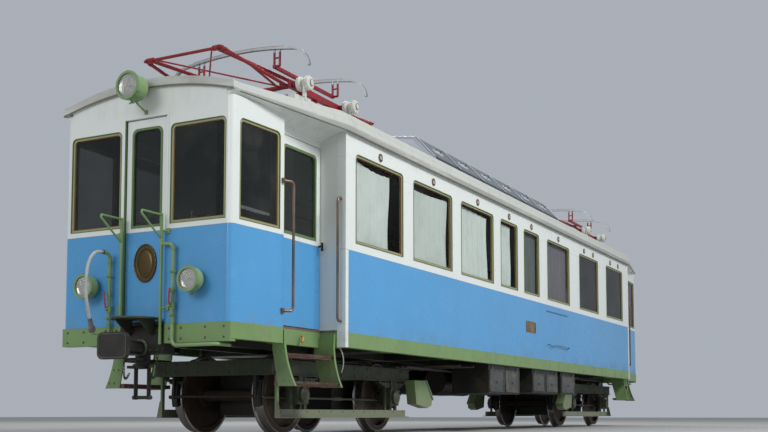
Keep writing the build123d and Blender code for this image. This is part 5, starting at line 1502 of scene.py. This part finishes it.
def roof_seams():
    """Strips over the joints of the roof's sheets, open where the resistor box stands."""
    seams = Shape()
    x = spread(-1.235, 1.235, 41)
    beside_box = [x[x < -0.93], x[x > 0.93]]
    for y in np.arange(-4.924, 5.0, SHEET_PITCH):
        for part in beside_box if abs(y) < BOX_HALF + 0.05 else [x]:
            arc = np.stack([part, np.full_like(part, y), roof_height(part) + 0.0015], axis=1)
            seams.add(strap(arc, 0.034, 0.005, (0, 0, 1)))
    return seams


def box_fittings():
    """Handles, screws, and the ribs and backing plates on the resistor box's two flanks."""
    handles, screws, ribs = Shape(), Shape(), Shape()
    flank = unit(TOP_EDGE - SHOULDER)
    start = 0.058 - BOX_HALF
    pitch = -2 * start / PANEL_COUNT
    bow = np.array([-0.085, -0.085, -0.075, 0.075, 0.085, 0.085])
    drop = np.array([0.0, 0.0, -0.012, -0.012, 0.0, 0.0]) + 0.215
    rise = np.array([0.0, 0.020, 0.032, 0.032, 0.020, 0.0])
    for side in (-1, 1):
        up, out = (side * flank[0], 0, flank[1]), (side * flank[1], 0, -flank[0])
        plane = Plane((side * SHOULDER[0], 0, SHOULDER[1]), (0, 1, 0), out, up)
        for y in start + pitch * (np.arange(PANEL_COUNT) + 0.5):
            handles.add(tube(plane.at(y + bow, drop, rise), 0.0075, 8, up))
            ribs.add(plate(plane, (y, 0.205), rounded(0.26, 0.10, 0.03, 0.03), 0.0035, 0.001))
            for v in (0.03, 0.36):
                spots = rows_of(plane, y + spread(-0.36, 0.36, 5), v)
                screws.add(bolts(spots, plane.out, 0.0065, DOME, 8))
        for y in start + pitch * np.arange(PANEL_COUNT + 1):
            bar = plane.at(y, np.array([-0.02, 0.41]), 0.0085)
            ribs.add(strap(bar, 0.022, 0.006, plane.out))
    return handles, screws, ribs


def roof_cables():
    """Power cables from the pantographs' feet to the box, and their cleats."""
    cables = Shape()
    cleat = [(0, 0.03), (0.012, 0.03), (0.022, 0.02), (0.04, 0.02)]
    level = float(roof_height(CABLE_X))
    for end, side in CORNERS:
        x = side * CABLE_X
        bend = [(side * 0.30, end * 4.40, 3.700), (side * 0.42, end * 4.05, 3.66)]
        cables.add(tube(arc_points(*bend, (x, end * 3.65, 3.618), 14), CABLE_R, 10))
        path = [(x, end * y, level + 0.020) for y in spread(3.65, 2.60, 12)]
        cables.add(tube(path, CABLE_R, 10))
        for y in (3.45, 3.05):
            cables.add(lathe(cleat, (x, end * y, level - 0.003), (0, 0, 1), 16))
    return cables


def walking_boards():
    """Three boards on two bearers, between the box and each pantograph."""
    walk = Shape()
    level = float(roof_height(0.25))
    for end in (-1, 1):
        for x in (-0.17, 0.0, 0.17):
            run = sorted((end * 2.72, end * 3.35))
            walk.add(beam((x - 0.075, x + 0.075), run, (level + 0.024, level + 0.046), 0.004))
        for y in (end * 2.85, end * 3.2):
            high = (level - 0.002, level + 0.026)
            walk.add(beam((-0.26, 0.26), (y - 0.03, y + 0.03), high, 0.003))
    return walk


class RAILCAR_OT_roof(Operator):
    """Seam strips, the resistor box's handles and screws, walking boards and cables"""

    bl_idname = "railcar.roof"
    bl_label = "Roof"

    def execute(self, context):
        paint = roof_paint(context.scene.railcar_colours)
        piece("roof_seams", roof_seams(), paint)
        handles, screws, ribs = box_fittings()
        steel = weathered("handle_steel", (0.16, 0.18, 0.20), 0.35, 0.6, share=0.4)
        piece("box_handles", handles, steel)
        piece("box_screws", screws, steel)
        bright = weathered("seam_grey", (0.62, 0.66, 0.69), 0.35, 0.2, share=0.15)
        piece("box_seams", ribs, bright)
        rubber = weathered("cable_cover", (0.035, 0.033, 0.031), 0.6, share=0.6)
        piece("roof_cables", roof_cables(), rubber)
        wood = boards("walk_board", (0.16, 0.13, 0.10), (0.34, 0.30, 0.25), 0.15, worn=0.3)
        piece("walking_boards", walking_boards(), wood)
        return {"FINISHED"}


# The front pantograph, lowered; the rear one is its mirror image
PANTO_Y = -5.12
SHAFT_HALF, KNEE_HALF = 0.5, 1.58
SHAFT_Z, KNEE_Z, BOW_Z = 3.77, 3.885, 4.15
SPRING_X, SPRING_Z, COIL_R = 0.240, 3.736, 0.0355
INSULATOR_X, FOOT_Z = 0.78, 3.602
FOOT_BOLTS = [(x, y) for y in (-0.045, 0.045) for x in (-0.026, 0.026)]


def panto_base(sign, turns):
    """Collars, springs and insulator caps of a base. A spring is a tube along the helix
    (r cos a, p a, r sin a)."""
    fixed, springs, caps = Shape(), Shape(), Shape()
    angle = np.linspace(0, 2 * np.pi * turns, turns * 10 + 1)
    run = sign * (PANTO_Y + np.linspace(-0.40, 0.40, len(angle)))
    for side in (-1, 1):
        x, z = side * SPRING_X + COIL_R * np.cos(angle), SPRING_Z + COIL_R * np.sin(angle)
        springs.add(tube(np.stack([x, run, z], axis=1), 0.0045, 5, (0, 1, 0.01)))
        for off in (-0.42, 0.42):
            spot = (side * SPRING_X, sign * (PANTO_Y + off), SPRING_Z)
            fixed.sleeve(spot, (0, 1, 0), (-0.02, 0.02), 0.0325, 0.042)
        for off in (-SHAFT_HALF, SHAFT_HALF):
            y = sign * (PANTO_Y + off)
            spot = (side * 0.655, y, SHAFT_Z)
            fixed.sleeve(spot, (side, 0, 0), (0, 0.018), 0.0265, 0.044, 24)
            spots = [(side * 0.624, y + hand * 0.045, SHAFT_Z + 0.034) for hand in (1, -1)]
            fixed.add(bolts(spots, (0, 0, 1), 0.011))
            x = side * INSULATOR_X
            spots = [(x + a, y + b, FOOT_Z) for a, b in FOOT_BOLTS]
            caps.add(bolts(spots, (0, 0, 1), 0.011))
            for hand in (-1, 1):
                spot = (x + hand * 0.0965, y, SHAFT_Z)
                caps.sleeve(spot, (hand, 0, 0), (-0.012, -0.001), 0.0315, 0.036)
    return fixed, springs, caps


def contact_strips(sign):
    """Copper strips on both bows, along z = bow + 55 mm (1 - (x / 0.7)^2)."""
    strips = Shape()
    x = spread(-0.60, 0.60, 33)
    z = BOW_Z + 0.055 * (1 - (x / 0.70) ** 2) + 0.004
    for off in (-0.63, 0.63):
        path = np.stack([x, np.full_like(x, sign * (PANTO_Y + off)), z], axis=1)
        strips.add(strap(path, 0.030, 0.008, (0, 0, 1)))
    return strips


def arm_collars(sign, hand):
    """Collars at both ends of the lower arms' tubes, and on their knee shaft."""
    collars = Shape()
    knee_y = sign * (PANTO_Y + hand * KNEE_HALF)
    shaft_y = sign * (PANTO_Y + hand * SHAFT_HALF)
    for side in (-1, 1):
        spot = (side * 0.466, knee_y, KNEE_Z)
        collars.sleeve(spot, (side, 0, 0), (-0.006, 0.006), 0.0165, 0.026, 16)
        root = np.array([side * 0.538, shaft_y, SHAFT_Z])
        tip = np.array([side * 0.476, knee_y, KNEE_Z])
        for share in (0.06, 0.94):
            spot = root + (tip - root) * share
            collars.sleeve(spot, tip - root, (-0.018, 0.018), 0.0195, 0.0245, 16)
    return collars


class RAILCAR_OT_pantographs(Operator):
    """Springs, collars, contact strips and insulator caps of the pantographs"""

    bl_idname = "railcar.pantographs"
    bl_label = "Pantographs"

    def execute(self, context):
        colour = context.scene.railcar_colours.red
        red = weathered("collar_red", colour, 0.4, dirt=SOOT, share=0.45, rust=0.25)
        steel = weathered("spring_steel", (0.11, 0.11, 0.11), 0.4, 0.7, share=0.4)
        copper = (0.42, 0.24, 0.13)
        strip = weathered("contact_copper", copper, 0.35, 0.8, dirt=SOOT, share=0.3)
        for end, sign in (("front", 1), ("rear", -1)):
            fixed, springs, caps = panto_base(sign, context.scene.railcar_sizes.turns)
            piece(f"panto_collars_{end}", fixed, red)
            piece(f"panto_springs_{end}", springs, steel)
            piece(f"insulator_caps_{end}", caps, steel)
            stem, slot = f"pantograph_{end}_", "pantograph_red"
            piece(f"contact_strips_{end}", contact_strips(sign), strip, stem + "head")
            for arm, hand in (("outer", -1), ("inner", 1)):
                collars = arm_collars(sign, hand)
                piece(f"arm_collars_{end}_{arm}", collars, red, f"{stem}lower_{arm}")
        return {"FINISHED"}


BENCH_X = (0.36, 1.225)
SEAT_TOP, BACK_TOP, FLOOR_Z = 1.54, 1.99, 1.10
# A bench's bars: near and far x, distances in front of the back's rear face, two heights, ease
LEG_X = [(BENCH_X[0], BENCH_X[0] + 0.030), (BENCH_X[1] - 0.032, BENCH_X[1] - 0.002)]
RAIL_X = (BENCH_X[0] + 0.031, BENCH_X[1] - 0.033)
BENCH_BARS = [
    *[
        bar
        for leg in LEG_X
        for bar in (
            (leg, (0.002, 0.040), (FLOOR_Z, BACK_TOP), 0.006),
            (leg, (0.041, 0.418), (SEAT_TOP - 0.115, SEAT_TOP - 0.066), 0.006),
            (leg, (0.065, 0.105), (FLOOR_Z, SEAT_TOP - 0.116), 0.006),
        )
    ],
    (RAIL_X, (0.090, 0.415), (SEAT_TOP - 0.082, SEAT_TOP - 0.064), 0.004),
    (RAIL_X, (0.012, 0.030), (SEAT_TOP - 0.06, BACK_TOP - 0.004), 0.004),
    ((BENCH_X[0], BENCH_X[1] - 0.002), (0.001, 0.045), (BACK_TOP + 0.001, BACK_TOP + 0.024), 0.009),
]
BACK_LEAN = math.radians(85)


def bench_places():
    """(y of the back, facing) of each pair of benches, which face each other at a window."""
    found = []
    for y, width, _ in side_windows():
        if width == WIDE:
            found += [(y + facing * (width / 2 + 0.07), facing) for facing in (-1, 1)]
    return found


def power(values, exponent):
    """Values raised to a power with their signs kept."""
    return np.sign(values) * np.abs(values) ** exponent


def vertex_places(mesh):
    """The vertices of a mesh as an array of points."""
    flat = np.empty(len(mesh.vertices) * 3)
    mesh.vertices.foreach_get("co", flat)
    return flat.reshape(-1, 3)


def stuffed(width, depth, height, cap, quick):
    """A cushion centred on 0: a superellipse block, remeshed and swollen by Cloth pressure.
    Its points are (a |cos u|^e |cos v|^f, b |sin u|^e |cos v|^f, c |sin v|^g), signs kept.
    Returns its points and faces."""
    u = (2 * np.pi * np.arange(56) / 56)[None, :]
    v = np.linspace(-np.pi / 2 + 0.06, np.pi / 2 - 0.06, 15)[:, None]
    level = np.abs(np.cos(v)) ** 0.30
    x = power(np.cos(u), 0.28) * level * width / 2
    y = power(np.sin(u), 0.28) * level * depth / 2
    z = power(np.sin(v), 0.55) * height / 2
    shape = Shape().add(np.stack(np.broadcast_arrays(x, y, z), axis=-1))
    mesh = bpy.data.meshes.new("stuffing")
    mesh.from_pydata(np.concatenate(shape.points), [], shape.faces)
    block = bpy.data.objects.new("stuffing", mesh)
    scene = bpy.context.scene
    scene.collection.objects.link(block)
    remesh = block.modifiers.new("remesh", "REMESH")
    remesh.mode, remesh.voxel_size = "VOXEL", 0.016
    depsgraph = bpy.context.evaluated_depsgraph_get()
    even = bpy.data.meshes.new_from_object(block.evaluated_get(depsgraph))
    block.modifiers.clear()
    block.data = even
    points = vertex_places(even)
    if not quick:
        cloth = block.modifiers.new("cloth", "CLOTH")
        cloth.settings.use_pressure = True
        cloth.settings.uniform_pressure_force = 4.0
        cloth.settings.effector_weights.gravity = 0.0
        cloth.point_cache.frame_start, cloth.point_cache.frame_end = 1, 20
        for number in range(1, 21):
            scene.frame_set(number)
        swollen = block.evaluated_get(bpy.context.evaluated_depsgraph_get()).data
        shift = vertex_places(swollen) - points
        size = np.linalg.norm(shift, axis=1, keepdims=True)
        points = points + shift * np.minimum(1.0, cap / np.maximum(size, 1e-9))
        scene.frame_set(1)
    faces = [list(face.vertices) for face in even.polygons]
    bpy.data.objects.remove(block)
    return points, faces


def copies_of(points, faces, places):
    """One Shape with a copy of a mesh at every (3x3 turn, shift)."""
    shape = Shape()
    for turn, shift in places:
        shape.faces += [[i + shape.count for i in face] for face in faces]
        shape.points.append(points @ np.array(turn, float).T + np.array(shift, float))
        shape.count += len(points)
    return shape


def leathercloth(colour):
    """Worn leathercloth with a fine grain."""
    f = Finish("leathercloth")
    crease = f.noise(60.0, 6.0, 0.65)
    cells = f.node("ShaderNodeTexVoronoi", {"feature": "DISTANCE_TO_EDGE"}, {"Scale": 260.0})
    grain = Signal(f.tree, cells.outputs["Distance"])
    worn = f.patches(0.5, 0.8, 5.0, 5.0, 0.65)
    tone = f.mix(worn * 0.5, tuple(colour), shade(colour, 1.9))
    height = f.bump(grain * 0.6 + crease, 0.0008, 0.6)
    return f.close(tone, crease * 0.25 + 0.30, normal=height, Coat_Weight=0.1)


class RAILCAR_OT_benches(Operator):
    """Bench frames with stuffed seats and backs"""

    bl_idname = "railcar.benches"
    bl_label = "Benches"

    def execute(self, context):
        cap = context.scene.railcar_sizes.cushion
        wide = BENCH_X[1] - BENCH_X[0] - 0.075
        middle = sum(BENCH_X) / 2 + 0.01
        seat = stuffed(wide, 0.300, 0.050, cap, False)
        back = stuffed(wide, 0.390, 0.034, cap * 0.8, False)
        seats, backs, frames = [], [], Shape()
        fall, rise = math.cos(BACK_LEAN), math.sin(BACK_LEAN)
        for y, facing in bench_places():
            for side in (-1, 1):
                x = side * middle
                place = (x, y - facing * 0.255, SEAT_TOP - 0.032)
                seats.append((np.diag([side, facing, 1]), place))
                tip = [[side, 0, 0], [0, facing * fall, -facing * rise], [0, rise, fall]]
                backs.append((tip, (x, y - facing * 0.060, 1.775)))
                for xs, reach, heights, ease in BENCH_BARS:
                    across = sorted(side * x for x in xs)
                    run = sorted(y - facing * off for off in reach)
                    frames.add(beam(across, run, heights, ease))
        leather = leathercloth(context.scene.railcar_colours.leather)
        for name, mesh, places, fill in (
            ("seat_cushions", seat, seats, 0.7),
            ("back_cushions", back, backs, 0.6),
        ):
            pad = piece(name, copies_of(*mesh, places), leather, smooth=80)
            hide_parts("seats")
        wood = boards("bench_wood", (0.12, 0.055, 0.022), (0.26, 0.135, 0.060), 0.4, "x", 0.25, 0.3)
        base = piece("bench_frames", frames, wood)
        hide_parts("seats")
        return {"FINISHED"}


# Curtains by kind: share of the window's width that each covers, drop of its top under the
# window's head at its two sides and in its middle, folds across it, and its tint
CURTAINS = {
    "sagging": ((-0.02, 0.78), (0.004, 0.125, 0.075), 4.6, (0.98, 1.0, 0.98)),
    "full": ((-0.02, 0.96), (0.085, 0.110, 0.060), 7.6, (0.90, 0.93, 0.90)),
    "short": ((-0.02, 0.90), (0.030, 0.055, 0.070), 6.0, (1.0, 1.03, 1.0)),
    "side": ((-0.02, 0.80), (0.045, 0.035, 0.050), 4.2, (0.96, 1.0, 0.98)),
    "blind": ((-0.01, 1.01), (-0.012, -0.012, -0.012), 2.0, (0.095, 0.130, 0.120)),
}
CURTAIN_X = 1.2370
ROD_AT = (1.240, 3.012)  # x and z of the curtain rods
HEM_Z = 2.050


def curtain_cloth(colours, covering, number):
    """Finish of a kind of curtain. The last blind is grey."""
    tint = CURTAINS[covering][3]
    colour = tuple(a * b for a, b in zip(colours.cloth, tint))
    if number == 6:
        colour = (0.115, 0.115, 0.130)
    stain = (0.12, 0.13, 0.14) if covering == "blind" else (0.40, 0.38, 0.31)
    return cloth(f"cloth_{covering}_{number}", colour, stain)


def curtain_grid(side, number, y, width, covering, fold):
    """Sheet with u from 0 to 1 across it and v down it, from the top to a wandering hem. The
    top is head - d0 (1-u)^2 - 2 d1 u (1-u) - d2 u^2 - 7 mm |sin 1.5 pi n u|, and k is its
    number: x = side (X + 0.72 depth (sin(2 pi n u + 1.3 sin(2.2 v + k) + k)
    + 0.35 sin(4.6 pi n u + 2 v) + 0.25 sin(18 pi u + k) e^-6v))."""
    span, drops, waves, _ = CURTAINS[covering]
    loose, give = (0, 0.22) if covering == "blind" else (1, 1.0)
    u = np.linspace(0, 1, 97)[:, None]
    v = np.linspace(0, 1, 49)[None, :]
    share = span[0] + (span[1] - span[0]) * u
    lean = 0.018 * np.sin(5.1 * v + number) * u * loose
    run = y + width * (share - 0.5) + lean
    top = HEAD_Z - drops[0] * (1 - u) ** 2 - 2 * drops[1] * u * (1 - u) - drops[2] * u**2
    scallop = 0.007 * np.abs(np.sin(np.pi * waves * 1.5 * u)) * loose
    bottom = HEM_Z + 0.010 * np.sin(7 * u + number) + 0.006 * np.sin(19 * u)
    z = (top - scallop) * (1 - v) + bottom * v
    depth = fold * (0.35 + 0.65 * v) * give
    wave = np.sin(2 * np.pi * waves * u + 1.3 * np.sin(2.2 * v + number) + number)
    wave = wave + 0.35 * np.sin(2 * np.pi * waves * 2.3 * u + 2.0 * v)
    pucker = 0.25 * np.sin(2 * np.pi * 9.0 * u + number) * np.exp(-6 * v)
    x = side * (CURTAIN_X - 0.0005 + depth * (wave + pucker) * 0.72)
    return np.stack(np.broadcast_arrays(x, run, z), axis=-1)


class RAILCAR_OT_curtains(Operator):
    """Curtains and blinds, hung behind the side windows"""

    bl_idname = "railcar.curtains"
    bl_label = "Curtains"

    def execute(self, context):
        fold = context.scene.railcar_sizes.fold
        rods, threads = Shape(), Shape()
        finishes = {}
        rod_x, rod_z = ROD_AT
        for number, (y, width, covering) in enumerate(side_windows(), 1):
            if covering is None:
                continue
            key = (covering, number) if covering == "blind" else covering
            if key not in finishes:
                finishes[key] = curtain_cloth(context.scene.railcar_colours, covering, number)
            for side, name in ((1, "right"), (-1, "left")):
                grid = curtain_grid(side, number, y, width, covering, fold)
                shape = Shape().add(grid, sheet=True)
                name = f"curtain_{number}_{name}"
                hung = piece(name, shape, finishes[key], smooth=80)
                thin = hung.modifiers.new("cloth_thickness", "SOLIDIFY")
                thin.thickness, thin.offset = 0.0012, 0.0
                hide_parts("curtains")
                if covering == "blind":
                    x, z = side * CURTAIN_X, HEM_Z - 0.004
                    hem = [(x, y - width * 0.5, z), (x, y + width * 0.5, z)]
                    rods.add(tube(hem, 0.007, 10))
                    continue
                places = np.linspace(0, 1, 97)
                for s in np.linspace(0.03, 0.97, 7):
                    x, run, z = (np.interp(s, places, grid[:, 0, axis]) for axis in range(3))
                    line = [(x, run, z - 0.004), (side * rod_x, run, rod_z)]
                    threads.add(tube(line, 0.0016, 6, (0, 1, 0)))
        holder = [(0, 0.014), (0.004, 0.014), (0.006, 0.006), (0.016, 0.006)]
        for side in (-1, 1):
            for y, width, _ in side_windows():
                reach = width / 2 + 0.03
                ends = [(side * rod_x, y - reach, rod_z), (side * rod_x, y + reach, rod_z)]
                rods.add(tube(ends, 0.007, 12))
                for end in (-1, 1):
                    spot = (side * 1.2545, y + end * (width / 2 + 0.022), rod_z)
                    rods.add(lathe(holder, spot, (-side, 0, 0), 12))
        brass = weathered("rod_brass", (0.35, 0.24, 0.10), 0.3, 0.85, share=0.3)
        piece("curtain_rods", rods, brass)
        piece("curtain_threads", threads, brass)
        return {"FINISHED"}


RACK_Y = 5.50


class RAILCAR_OT_saloon(Operator):
    """Luggage racks, window sills, ceiling lamps and grab poles inside"""

    bl_idname = "railcar.saloon"
    bl_label = "Saloon"

    def execute(self, context):
        racks, sills, bowls, poles = Shape(), Shape(), Shape(), Shape()
        for side in (-1, 1):
            for x, z in ((1.235, 3.055), (1.12, 3.06), (1.02, 3.075), (0.94, 3.10)):
                racks.add(tube([(side * x, -RACK_Y, z), (side * x, RACK_Y, z)], 0.010, 10))
            for y in np.arange(-5.4, 5.5, 0.9):
                arm = [(side * 1.25, y, 3.045), (side * 0.93, y, 3.085)]
                racks.add(strap(arm, 0.012, 0.022, (0, 0, 1)))
            for y, width, _ in side_windows():
                reach = width / 2 + 0.02
                depth = sorted((side * 1.205, side * 1.2548))
                sills.add(beam(depth, (y - reach, y + reach), (2.002, 2.026), 0.006))
            for end in (-1, 1):
                line = [(side * 0.37, end * 5.56, 1.11), (side * 0.37, end * 5.56, 3.30)]
                poles.add(tube(line, 0.016, 12, (0, 1, 0)))
        bowl = [(0, 0.10), (-0.02, 0.105), (-0.05, 0.095), (-0.085, 0.06), (-0.10, 0.012)]
        for y in (-4.2, -2.1, 0.0, 2.1, 4.2):
            bowls.add(lathe(bowl, (0, y, 3.528), (0, 0, 1), 24))
        brass = weathered("rack_brass", (0.30, 0.20, 0.085), 0.3, 0.85, share=0.4)
        piece("luggage_racks", racks, brass)
        piece("grab_poles", poles, brass)
        wood = boards("sill_wood", (0.13, 0.060, 0.024), (0.27, 0.14, 0.06), 0.5, "y", 0.2, 0.28)
        piece("window_sills", sills, wood)
        milk = weathered("milk_glass", (0.70, 0.68, 0.60), 0.2, share=0.2)
        piece("ceiling_lamps", bowls, milk)
        return {"FINISHED"}


FLOOR_HALF = 60.0
# Area lights: name, place, size and power
LIGHTS = [
    ("key", (16, -6, 15), 7.0, 3100.0),
    ("front", (-3, -24, 9), 9.0, 1000.0),
    ("back", (-10, 12, 12), 8.0, 900.0),
]
LIT_SPOT = (0, -1.5, 1.8)  # where all of them point
CAMERA_PLACE, CAMERA_TURN = (6.688, -15.039, 0.232), (94.5, 0, 27.7)  # metres and degrees


class RAILCAR_OT_stage(Operator):
    """Pale floor, soft lights and the photograph's camera"""

    bl_idname = "railcar.stage"
    bl_label = "Stage and camera"

    def execute(self, context):
        floor = bpy.data.meshes.new("floor_sheet")
        signs = ((-1, -1), (1, -1), (1, 1), (-1, 1))
        corners = [(x * FLOOR_HALF, y * FLOOR_HALF, 0) for x, y in signs]
        floor.from_pydata(corners, [], [(0, 1, 2, 3)])
        sheet = bpy.data.objects.new("floor_sheet", floor)
        pale = Finish("pale_floor")
        floor.materials.append(pale.close((0.44, 0.43, 0.41), 0.8))
        context.scene.collection.objects.link(sheet)

        world = bpy.data.worlds.new("studio")
        world.use_nodes = True
        background = world.node_tree.nodes["Background"]
        background.inputs["Color"].default_value = (0.80, 0.86, 0.95, 1)
        background.inputs["Strength"].default_value = 0.50
        context.scene.world = world
        for name, place, size, power in LIGHTS:
            lamp = bpy.data.lights.new(name, "AREA")
            lamp.shape = "DISK"
            lamp.size = size
            lamp.energy = power
            holder = bpy.data.objects.new(name, lamp)
            holder.location = place
            aim = Vector(LIT_SPOT) - Vector(place)
            holder.rotation_euler = aim.to_track_quat("-Z", "Y").to_euler()
            context.scene.collection.objects.link(holder)

        camera = bpy.data.cameras.new("camera")
        camera.sensor_width = 36.0
        camera.lens = 49.48
        camera.shift_y = 0.150
        camera.clip_end = 200
        holder = bpy.data.objects.new("camera", camera)
        holder.location = CAMERA_PLACE
        holder.rotation_euler = [math.radians(turn) for turn in CAMERA_TURN]
        context.scene.collection.objects.link(holder)
        context.scene.camera = holder
        context.scene.view_settings.view_transform = "Standard"
        return {"FINISHED"}


class RAILCAR_PT_panel(Panel):
    """Lists the railcar's operators"""

    bl_label = "Railcar"
    bl_idname = "RAILCAR_PT_panel"
    bl_space_type = "VIEW_3D"
    bl_region_type = "UI"
    bl_category = "Railcar"

    def draw(self, context):
        for operator in OPERATORS:
            self.layout.operator(operator.bl_idname)


OPERATORS = (
    RAILCAR_OT_stage,
    RAILCAR_OT_brake_gear,
    RAILCAR_OT_paint,
    RAILCAR_OT_windows,
    RAILCAR_OT_body_trim,
    RAILCAR_OT_lamps,
    RAILCAR_OT_ovals,
    RAILCAR_OT_headstocks,
    RAILCAR_OT_steps,
    RAILCAR_OT_running_gear,
    RAILCAR_OT_underfloor,
    RAILCAR_OT_roof,
    RAILCAR_OT_pantographs,
    RAILCAR_OT_benches,
    RAILCAR_OT_curtains,
    RAILCAR_OT_saloon,
)
CLASSES = (RailcarColours, RailcarSizes, *OPERATORS, RAILCAR_PT_panel)


def register():
    for cls in CLASSES:
        bpy.utils.register_class(cls)
    bpy.types.Scene.railcar_colours = PointerProperty(type=RailcarColours)
    bpy.types.Scene.railcar_sizes = PointerProperty(type=RailcarSizes)


def unregister():
    del bpy.types.Scene.railcar_colours
    del bpy.types.Scene.railcar_sizes
    for cls in reversed(CLASSES):
        bpy.utils.unregister_class(cls)


def main():
    """Runs every operator in order."""
    register()
    for operator in OPERATORS:
        space, name = operator.bl_idname.split(".")
        getattr(getattr(bpy.ops, space), name)()


if __name__ == "__main__":
    main()
